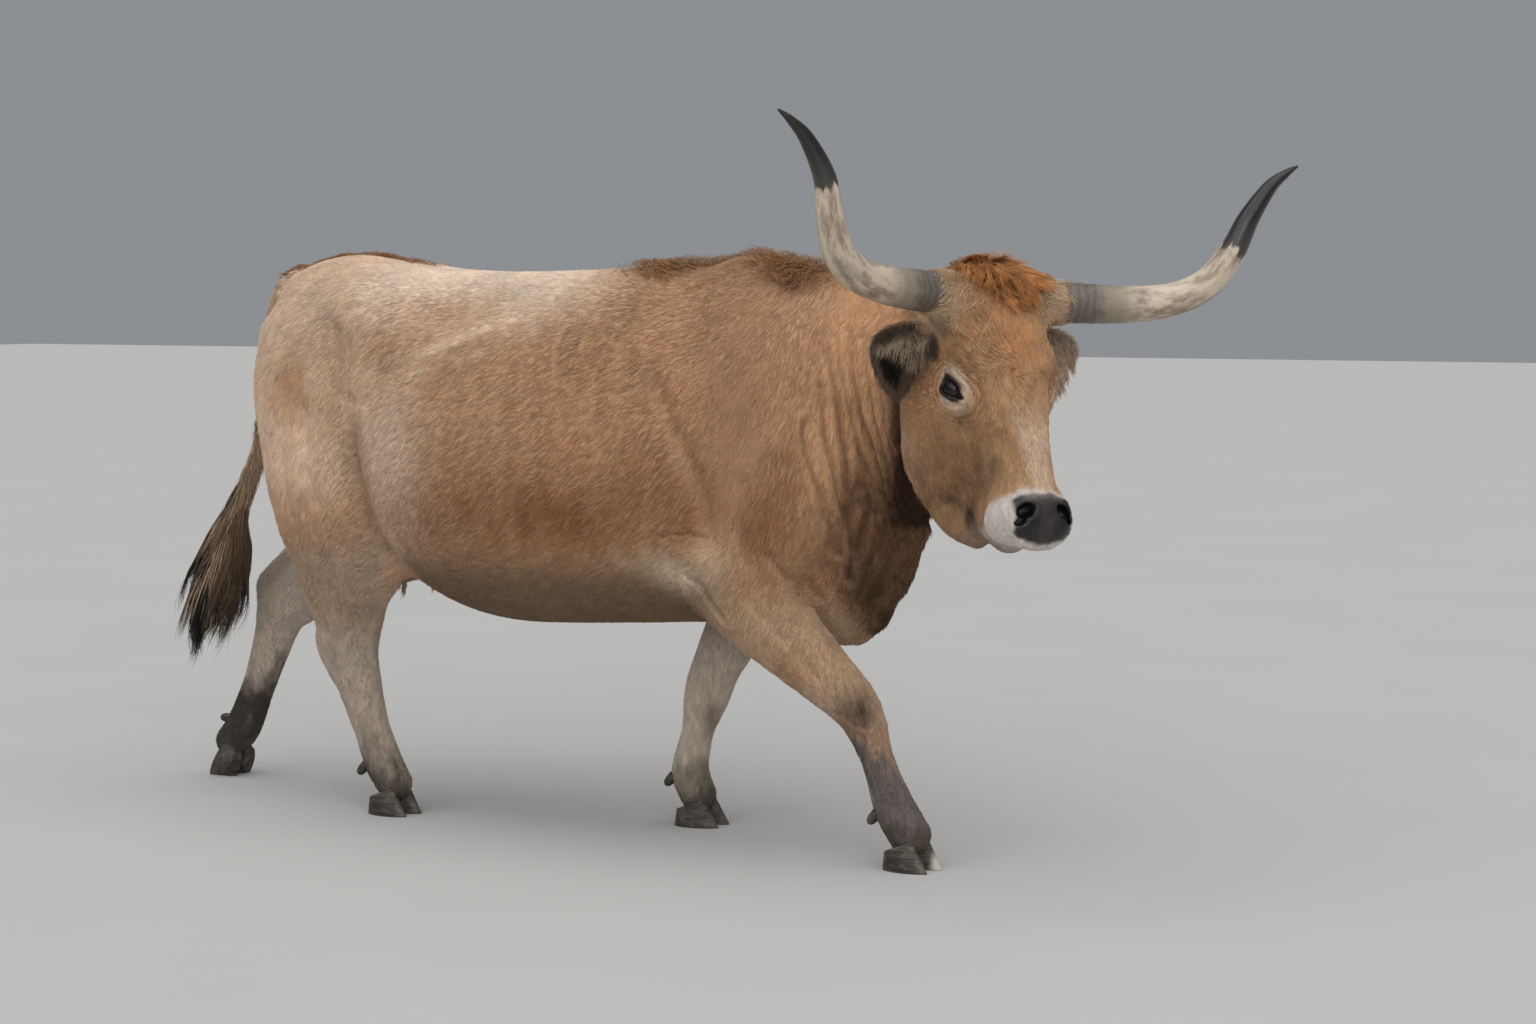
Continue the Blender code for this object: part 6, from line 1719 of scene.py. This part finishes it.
smoky = (ramp(noise(start, 34.0, 98), -0.15, 0.35) * (1 - on_croup) * 0.75 + on_croup * 0.7)[:, None]
tones = tones * (1 - smoky) + linear((146, 106, 72)) * smoky
strand_piece("crest_hair", start, normal, lines, (0.0016, 0.003), (0.0007, 0.0012),
             np.clip(tones, 0.003, 1), "coat", (0.55, 0.28))


# Horns
def horn_material():
    made, tree, shader = material("horn", 0.38, 0.5)
    shader.inputs["Coat Weight"].default_value = 0.12
    shader.inputs["Coat Roughness"].default_value = 0.25
    t_in = attribute(tree, "along").outputs["Fac"]
    grain = attribute(tree, "grain").outputs["Vector"]
    streaks = noise_node(tree, scaled(tree, grain, (14.0, 44.0, 44.0)), 1.0, 4.0, 0.65)
    patches = noise_node(tree, scaled(tree, grain, (16.0, 20.0, 20.0)), 1.0, 4.0, 0.6)
    rings = tree.nodes.new("ShaderNodeTexWave")
    rings.wave_type = 'BANDS'
    rings.bands_direction = 'X'
    rings.inputs["Scale"].default_value = 17.0
    rings.inputs["Distortion"].default_value = 5.0
    rings.inputs["Detail Scale"].default_value = 2.5
    rings.inputs["Detail"].default_value = 2.0
    tree.links.new(grain, rings.inputs["Vector"])
    ivory = mix_colour(tree, spread_value(tree, streaks, 0.42, 0.66), linear((206, 190, 168)),
                       linear((150, 132, 112)))
    ivory = mix_colour(tree, spread_value(tree, patches, 0.52, 0.7, 0.0, 0.55), ivory, linear((106, 89, 72)))
    base_tone = mix_colour(tree, spread_value(tree, rings.outputs["Fac"], 0.25, 0.75), linear((92, 83, 75)),
                           linear((106, 96, 87)))
    jag = math_node(tree, 'ADD', t_in,
                    times(tree, math_node(tree, 'SUBTRACT', streaks, 0.5), 0.1))
    colour = mix_colour(tree, spread_value(tree, jag, 0.165, 0.225), base_tone, linear((140, 128, 112)))
    colour = mix_colour(tree, spread_value(tree, jag, 0.23, 0.34), colour, ivory)
    colour = mix_colour(tree, spread_value(tree, jag, 0.6, 0.618), colour, linear((58, 54, 50)))
    colour = mix_colour(tree, spread_value(tree, jag, 0.62, 0.72), colour, linear((26, 25, 26)))
    tree.links.new(colour, shader.inputs["Base Color"])
    low_rings = times(tree, rings.outputs["Fac"],
                          spread_value(tree, t_in, 0.1, 0.34, 0.08, 0.04))
    height = math_node(tree, 'ADD', low_rings, times(tree, streaks, 0.6))
    bump(tree, shader, height, 0.5, 0.0022)
    tree.links.new(spread_value(tree, t_in, 0.1, 0.7, 0.55, 0.3), shader.inputs["Roughness"])
    return made


def tube_points(rows, sides):
    p = rows[:, :3]
    ways = units(np.gradient(p, axis=0))
    side_v = unit(np.cross(ways[0], (0, 0, 1)))
    places = []
    for k in range(len(p)):
        side_v = unit(side_v - ways[k] * np.dot(ways[k], side_v))
        up_v = np.cross(ways[k], side_v)
        a = 2 * math.pi * np.arange(sides) / sides
        places.append(p[k] + rows[k, 3] * (np.cos(a)[:, None] * side_v + np.sin(a)[:, None] * up_v))
    return np.array(places)


def cap_object(name, places, rings, sides, pointed=False):
    """A tube of rings with closed ends, the last of them a fan to the point after the rings if pointed."""
    k = np.arange(rings - 1)[:, None] * sides
    s = np.arange(sides)[None]
    n = (s + 1) % sides
    faces = np.stack([k + s, k + n, k + sides + n, k + sides + s], -1).reshape(-1, 4)
    made = mesh_object(name, places, faces)
    bm = bmesh.new()
    bm.from_mesh(made.data)
    bm.verts.ensure_lookup_table()
    last = (rings - 1) * sides
    bm.faces.new([bm.verts[j] for j in reversed(range(sides))])
    if pointed:
        for j in range(sides):
            fan = (bm.verts[last + j], bm.verts[last + (j + 1) % sides], bm.verts[rings * sides])
            bm.faces.new(fan).smooth = True
    else:
        bm.faces.new([bm.verts[last + j] for j in range(sides)])
        bmesh.ops.recalc_face_normals(bm, faces=bm.faces)
    bm.to_mesh(made.data)
    bm.free()
    return made


HORN_SIDES = 40
HORN_TIP = 0.003
horn_mat = horn_material()
for label, hand in (("right", -1), ("left", 1)):
    rows = smooth_curve([(*at_horn(*row[:3], hand), row[3]) for row in HORN], 16)
    travel = np.concatenate([[0], np.cumsum(np.linalg.norm(np.diff(rows[:, :3], axis=0), axis=1))])
    t = travel / travel[-1]
    ridge = (0.0002 * np.sin((travel + 0.003 * np.sin(travel * 90)) / 0.0125 * 2 * math.pi)
             * ramp(t, 0.34, 0.12)
             + 0.0005 * np.sin(travel / 0.031 * 2 * math.pi) * ramp(t, 0.5, 0.2))
    rows[:, 3] = rows[:, 3] + ridge - 0.0004
    flat = tube_points(rows, HORN_SIDES).reshape(-1, 3)
    flat = np.concatenate([flat, [rows[-1, :3] + unit(rows[-1, :3] - rows[-2, :3]) * HORN_TIP]])
    horn = cap_object("horn_" + label + "_fine", flat, len(rows), HORN_SIDES, pointed=True)
    # The black starts later on the near horn
    along_t = t - (0.13 if hand < 0 else 0.052) * ramp(t, 0.3, 0.55)
    float_points(horn, np.concatenate([np.repeat(along_t, HORN_SIDES), [1.0]]), "along")
    ang = np.tile(2 * math.pi * np.arange(HORN_SIDES) / HORN_SIDES, len(rows))
    grain_h = np.stack([
        np.repeat(travel, HORN_SIDES), 0.04 * np.cos(ang), 0.04 * np.sin(ang) + 0.5 * hand], 1)
    vector_points(horn, np.concatenate([grain_h, grain_h[-1:]]), "grain")
    dress(horn, horn_mat, "horn", "horn_" + label)


# Eyes
def eye_material():
    made, tree, shader = material("eye", 0.12, 0.22)
    shader.inputs["Coat Weight"].default_value = 0.16
    shader.inputs["Coat Roughness"].default_value = 0.03
    tree.links.new(attribute(tree, "tone").outputs["Color"], shader.inputs["Base Color"])
    return made


EYE_RINGS = 28
EYE_SEGMENTS = 48
eye_mat = eye_material()
for label, hand in (("right", -1), ("left", 1)):
    axes = lid_axes(hand)
    lat = np.linspace(0, math.pi, EYE_RINGS + 1)[1:-1]
    lon = np.linspace(0, 2 * math.pi, EYE_SEGMENTS, endpoint=False)
    u_axis, pole, w_axis = axes
    places = [pole[None] * (EYE_RADIUS + 0.0006)]
    for a in lat:
        bulge = EYE_RADIUS - 0.0003 + 0.0012 * math.exp(-(a / 0.42) ** 2)
        round_pole = np.cos(lon)[:, None] * u_axis + np.sin(lon)[:, None] * w_axis
        places.append(bulge * (math.cos(a) * pole + math.sin(a) * round_pole))
    places.append(-pole[None] * EYE_RADIUS)
    flat = np.concatenate(places)
    bm = bmesh.new()
    verts = [bm.verts.new(Vector(p + eye_centre(hand) + SHIFT)) for p in flat]
    rings_v = [verts[1 + k * EYE_SEGMENTS:1 + (k + 1) * EYE_SEGMENTS] for k in range(len(lat))]
    for j in range(EYE_SEGMENTS):
        n = (j + 1) % EYE_SEGMENTS
        bm.faces.new((verts[0], rings_v[0][j], rings_v[0][n]))
        for k in range(len(lat) - 1):
            bm.faces.new((rings_v[k][j], rings_v[k + 1][j], rings_v[k + 1][n], rings_v[k][n]))
        bm.faces.new((rings_v[-1][n], rings_v[-1][j], verts[-1]))
    bmesh.ops.recalc_face_normals(bm, faces=bm.faces)
    for face in bm.faces:
        face.smooth = True
    mesh = bpy.data.meshes.new("eye_%s_fine" % label)
    bm.to_mesh(mesh)
    bm.free()
    eye = bpy.data.objects.new("eye_%s_fine" % label, mesh)
    bpy.context.scene.collection.objects.link(eye)
    rel = units(flat)
    off = np.arccos(np.clip(rel @ pole, -1, 1))
    across_e = rel @ w_axis
    along_e = rel @ u_axis
    pupil = ramp(np.sqrt((along_e / 0.4) ** 2 + (across_e / 0.2) ** 2), 1.15, 0.9)
    iris = ramp(off, 0.66, 0.58)
    tones = np.tile(linear((40, 28, 24)), (len(flat), 1))
    tones = tones * (1 - iris[:, None]) + linear((26, 17, 13)) * iris[:, None]
    tones = tones * (1 - pupil[:, None]) + linear((5, 6, 9)) * pupil[:, None]
    colour_points(eye, tones)
    dress(eye, eye_mat, "eye", "eye_" + label)


# Claws
CLAW_LENGTH = 0.118
CLAW_WIDTH = 0.053
CLAW_TOE_HEIGHT = 0.068
CLAW_HEEL_HEIGHT = 0.04
CLAW_SPLAY = 3.0
CLAW_WORN = 0.003
CLAW_RINGS = 16
CLAW_SIDES = 40
DEW_SIDES = 24
# How far along it and how thick
DEWCLAW = ((-0.016, 0.0118), (-0.004, 0.0121), (0.004, 0.0119), (0.01, 0.0105), (0.015, 0.0078),
           (0.018, 0.0035))
FEET = (
    ("fore_right", (0.94, -0.11, 0.0), -8.0, 0.0, 0.0295, (0.905, -0.11, 0.112), (-0.75, 0, -0.66)),
    ("fore_left", (0.242, 0.12, 0.0), 4.0, 0.0, 0.0285, (0.225, 0.12, 0.108), (-0.75, 0, -0.66)),
    ("hind_right", (-0.497, -0.12, 0.0), -4.0, 0.0, 0.028, (-0.524, -0.12, 0.108), (-0.75, 0, -0.66)),
    ("hind_left", (-1.172, 0.14, 0.0), 3.0, 122.0, 0.027, (-1.178, 0.14, 0.155), (-0.95, 0, 0.2)),
)


def claw_material():
    made, tree, shader = material("claw", 0.55, 0.35)
    grain = attribute(tree, "grain").outputs["Vector"]
    bands = noise_node(tree, scaled(tree, grain, (20.0, 20.0, 260.0)), 1.0, 3.0)
    grime = noise_node(tree, scaled(tree, grain, (60.0, 60.0, 60.0)), 1.0, 4.0)
    fibre = noise_node(tree, scaled(tree, grain, (420.0, 420.0, 20.0)), 1.0, 2.0)
    colour = mix_colour(tree, spread_value(tree, bands, 0.35, 0.65), linear((44, 40, 38)),
                        linear((78, 72, 66)))
    colour = mix_colour(tree, spread_value(tree, grime, 0.5, 0.7, 0.0, 0.8), colour, linear((104, 92, 78)))
    pale = attribute(tree, "pale").outputs["Fac"]
    colour = mix_colour(tree, pale, colour, linear((196, 188, 174)))
    tree.links.new(colour, shader.inputs["Base Color"])
    bump(tree, shader, math_node(tree, 'ADD', bands, times(tree, fibre, 0.4)), 0.55, 0.0015)
    return made


claw_mat = claw_material()


def claw_shape(rings, sides):
    """A claw in its own terms: rounded walls that dip in at the sole's edge and swell at the heel."""
    places = []
    for ring in range(rings):
        t = ring / (rings - 1)
        length = CLAW_LENGTH * (1 - 0.4 * t) - 0.0004
        wide = (CLAW_WIDTH * (1 - 0.1 * t + 0.1 * math.sin(math.pi * t))
                - 0.0004) * (0.985 if ring == 0 else 1.0)
        a = 2 * math.pi * np.arange(sides) / sides
        along = 0.5 + 0.5 * np.cos(a)
        px = length * along + 0.006 * t
        py = wide * 0.5 * np.sin(a) * (1 - 0.3 * along ** 2)
        pz = (CLAW_HEEL_HEIGHT + (CLAW_TOE_HEIGHT - CLAW_HEEL_HEIGHT) * along) * t
        groove = 0.0006 * np.sin(pz / 0.0085 * 2 * math.pi) * (t > 0.03)
        px = px + groove * np.cos(a)
        places.append(np.stack([px, py, pz], 1))
    return np.concatenate(places)


for label, heel, heading, tip_down, spread_half, dew_place, dew_way in FEET:
    for place_name, hand in (("outer", -1 if "right" in label else 1),
                             ("inner", 1 if "right" in label else -1)):
        shape = claw_shape(CLAW_RINGS, CLAW_SIDES)
        own = shape.copy()
        along = np.clip(shape[:, 0] / CLAW_LENGTH, 0, 1)
        shape[:, 1] += spread_half * hand - hand * 0.006 * along ** 2
        turn = (Matrix.Rotation(math.radians(heading), 3,
                                'Z') @ Matrix.Rotation(math.radians(tip_down), 3, 'Y')
                @ Matrix.Rotation(math.radians(CLAW_SPLAY * hand), 3, 'Z'))
        turned = shape @ np.array(turn).T + np.array(heel)
        if tip_down:
            turned[:, 2] = np.maximum(turned[:, 2] - turned[:, 2].min() - CLAW_WORN, 0.0)
        name = "claw_%s_%s" % (label, place_name)
        claw = cap_object(name + "_fine", turned, CLAW_RINGS, CLAW_SIDES)
        vector_points(claw, own + np.array((0.3 * hand, 0.1 * len(label), 0)), "grain")
        white_toe = place_name == "inner" and label == "fore_right"
        pale = ramp(own[:, 0], 0.088, 0.106) * ramp(own[:, 2], 0.075, 0.05) * (0.95 if white_toe else 0.06)
        float_points(claw, pale, "pale")
        dress(claw, claw_mat, "claw", name)
        dew = "dewclaw_%s_%s" % (label, place_name)
        dew_at = np.array(dew_place) + np.array((0, 0.024 * hand, 0))
        go = unit(np.array(dew_way) + np.array((0.18, 0.25 * hand, -0.15)))
        rows = np.array([(*(dew_at + go * s), r) for s, r in DEWCLAW])
        net = tube_points(rows, DEW_SIDES).reshape(-1, 3)
        piece = cap_object(dew + "_fine", net, len(rows), DEW_SIDES)
        vector_points(piece, net, "grain")
        float_points(piece, np.zeros(len(net)), "pale")
        dress(piece, claw_mat, "claw", dew)


# Floor, lights and camera
def plain_material(name, colour, rough_value):
    made, tree, shader = material(name, rough_value, 0.2)
    place = tree.nodes.new("ShaderNodeTexCoord")
    fine = noise_node(tree, place.outputs["Object"], 1.2, 4.0)
    tree.links.new(mix_colour(tree, fine, linear(colour), linear([c * 0.97 for c in colour])),
                   shader.inputs["Base Color"])
    return made


bpy.ops.mesh.primitive_plane_add(size=90.0, location=(0, 0, 0))
floor = bpy.context.object
floor.name = "floor"
floor.data.materials.append(plain_material("floor", (198, 197, 195), 0.9))

scene = bpy.context.scene
world = bpy.data.worlds.new("studio")
scene.world = world
world.use_nodes = True
background = world.node_tree.nodes["Background"]
background.inputs["Color"].default_value = (*linear((222, 226, 232)), 1)
background.inputs["Strength"].default_value = 0.36


def add_light(name, kind, power, way):
    made = bpy.data.objects.new(name, bpy.data.lights.new(name, kind))
    made.data.energy = power
    made.rotation_euler = Vector(way).to_track_quat('-Z', 'Y').to_euler()
    scene.collection.objects.link(made)
    return made


overhead = add_light("sky", 'SUN', 2.3, (-0.22, 0.5, -1.0))
overhead.data.angle = math.radians(100)
overhead.data.color = (1.0, 0.995, 0.98)
SIDE_LIGHT = Vector((5.0, -6.0, 3.0))
side_light = add_light("side", 'AREA', 60.0, Vector((0.6, 0, 0.9)) - SIDE_LIGHT)
side_light.location = SIDE_LIGHT
side_light.data.shape = 'DISK'
side_light.data.size = 4.0

# Lens and horizon of the photo, in its own pixels
FOCAL = 2970.0
PHOTO_WIDTH = 1536
BELOW_HORIZON = 225
SENSOR = 36
view = bpy.data.cameras.new("view")
camera = bpy.data.objects.new("view", view)
scene.collection.objects.link(camera)
camera.location = Vector((4.0, -5.968, 1.3)) + Vector(SHIFT)
camera.rotation_euler = (math.radians(90) - math.atan(BELOW_HORIZON / FOCAL), 0, math.radians(30))
view.sensor_width = SENSOR
view.lens = FOCAL / PHOTO_WIDTH * SENSOR
view.clip_end = 200
scene.camera = camera
scene.view_settings.view_transform = 'Standard'
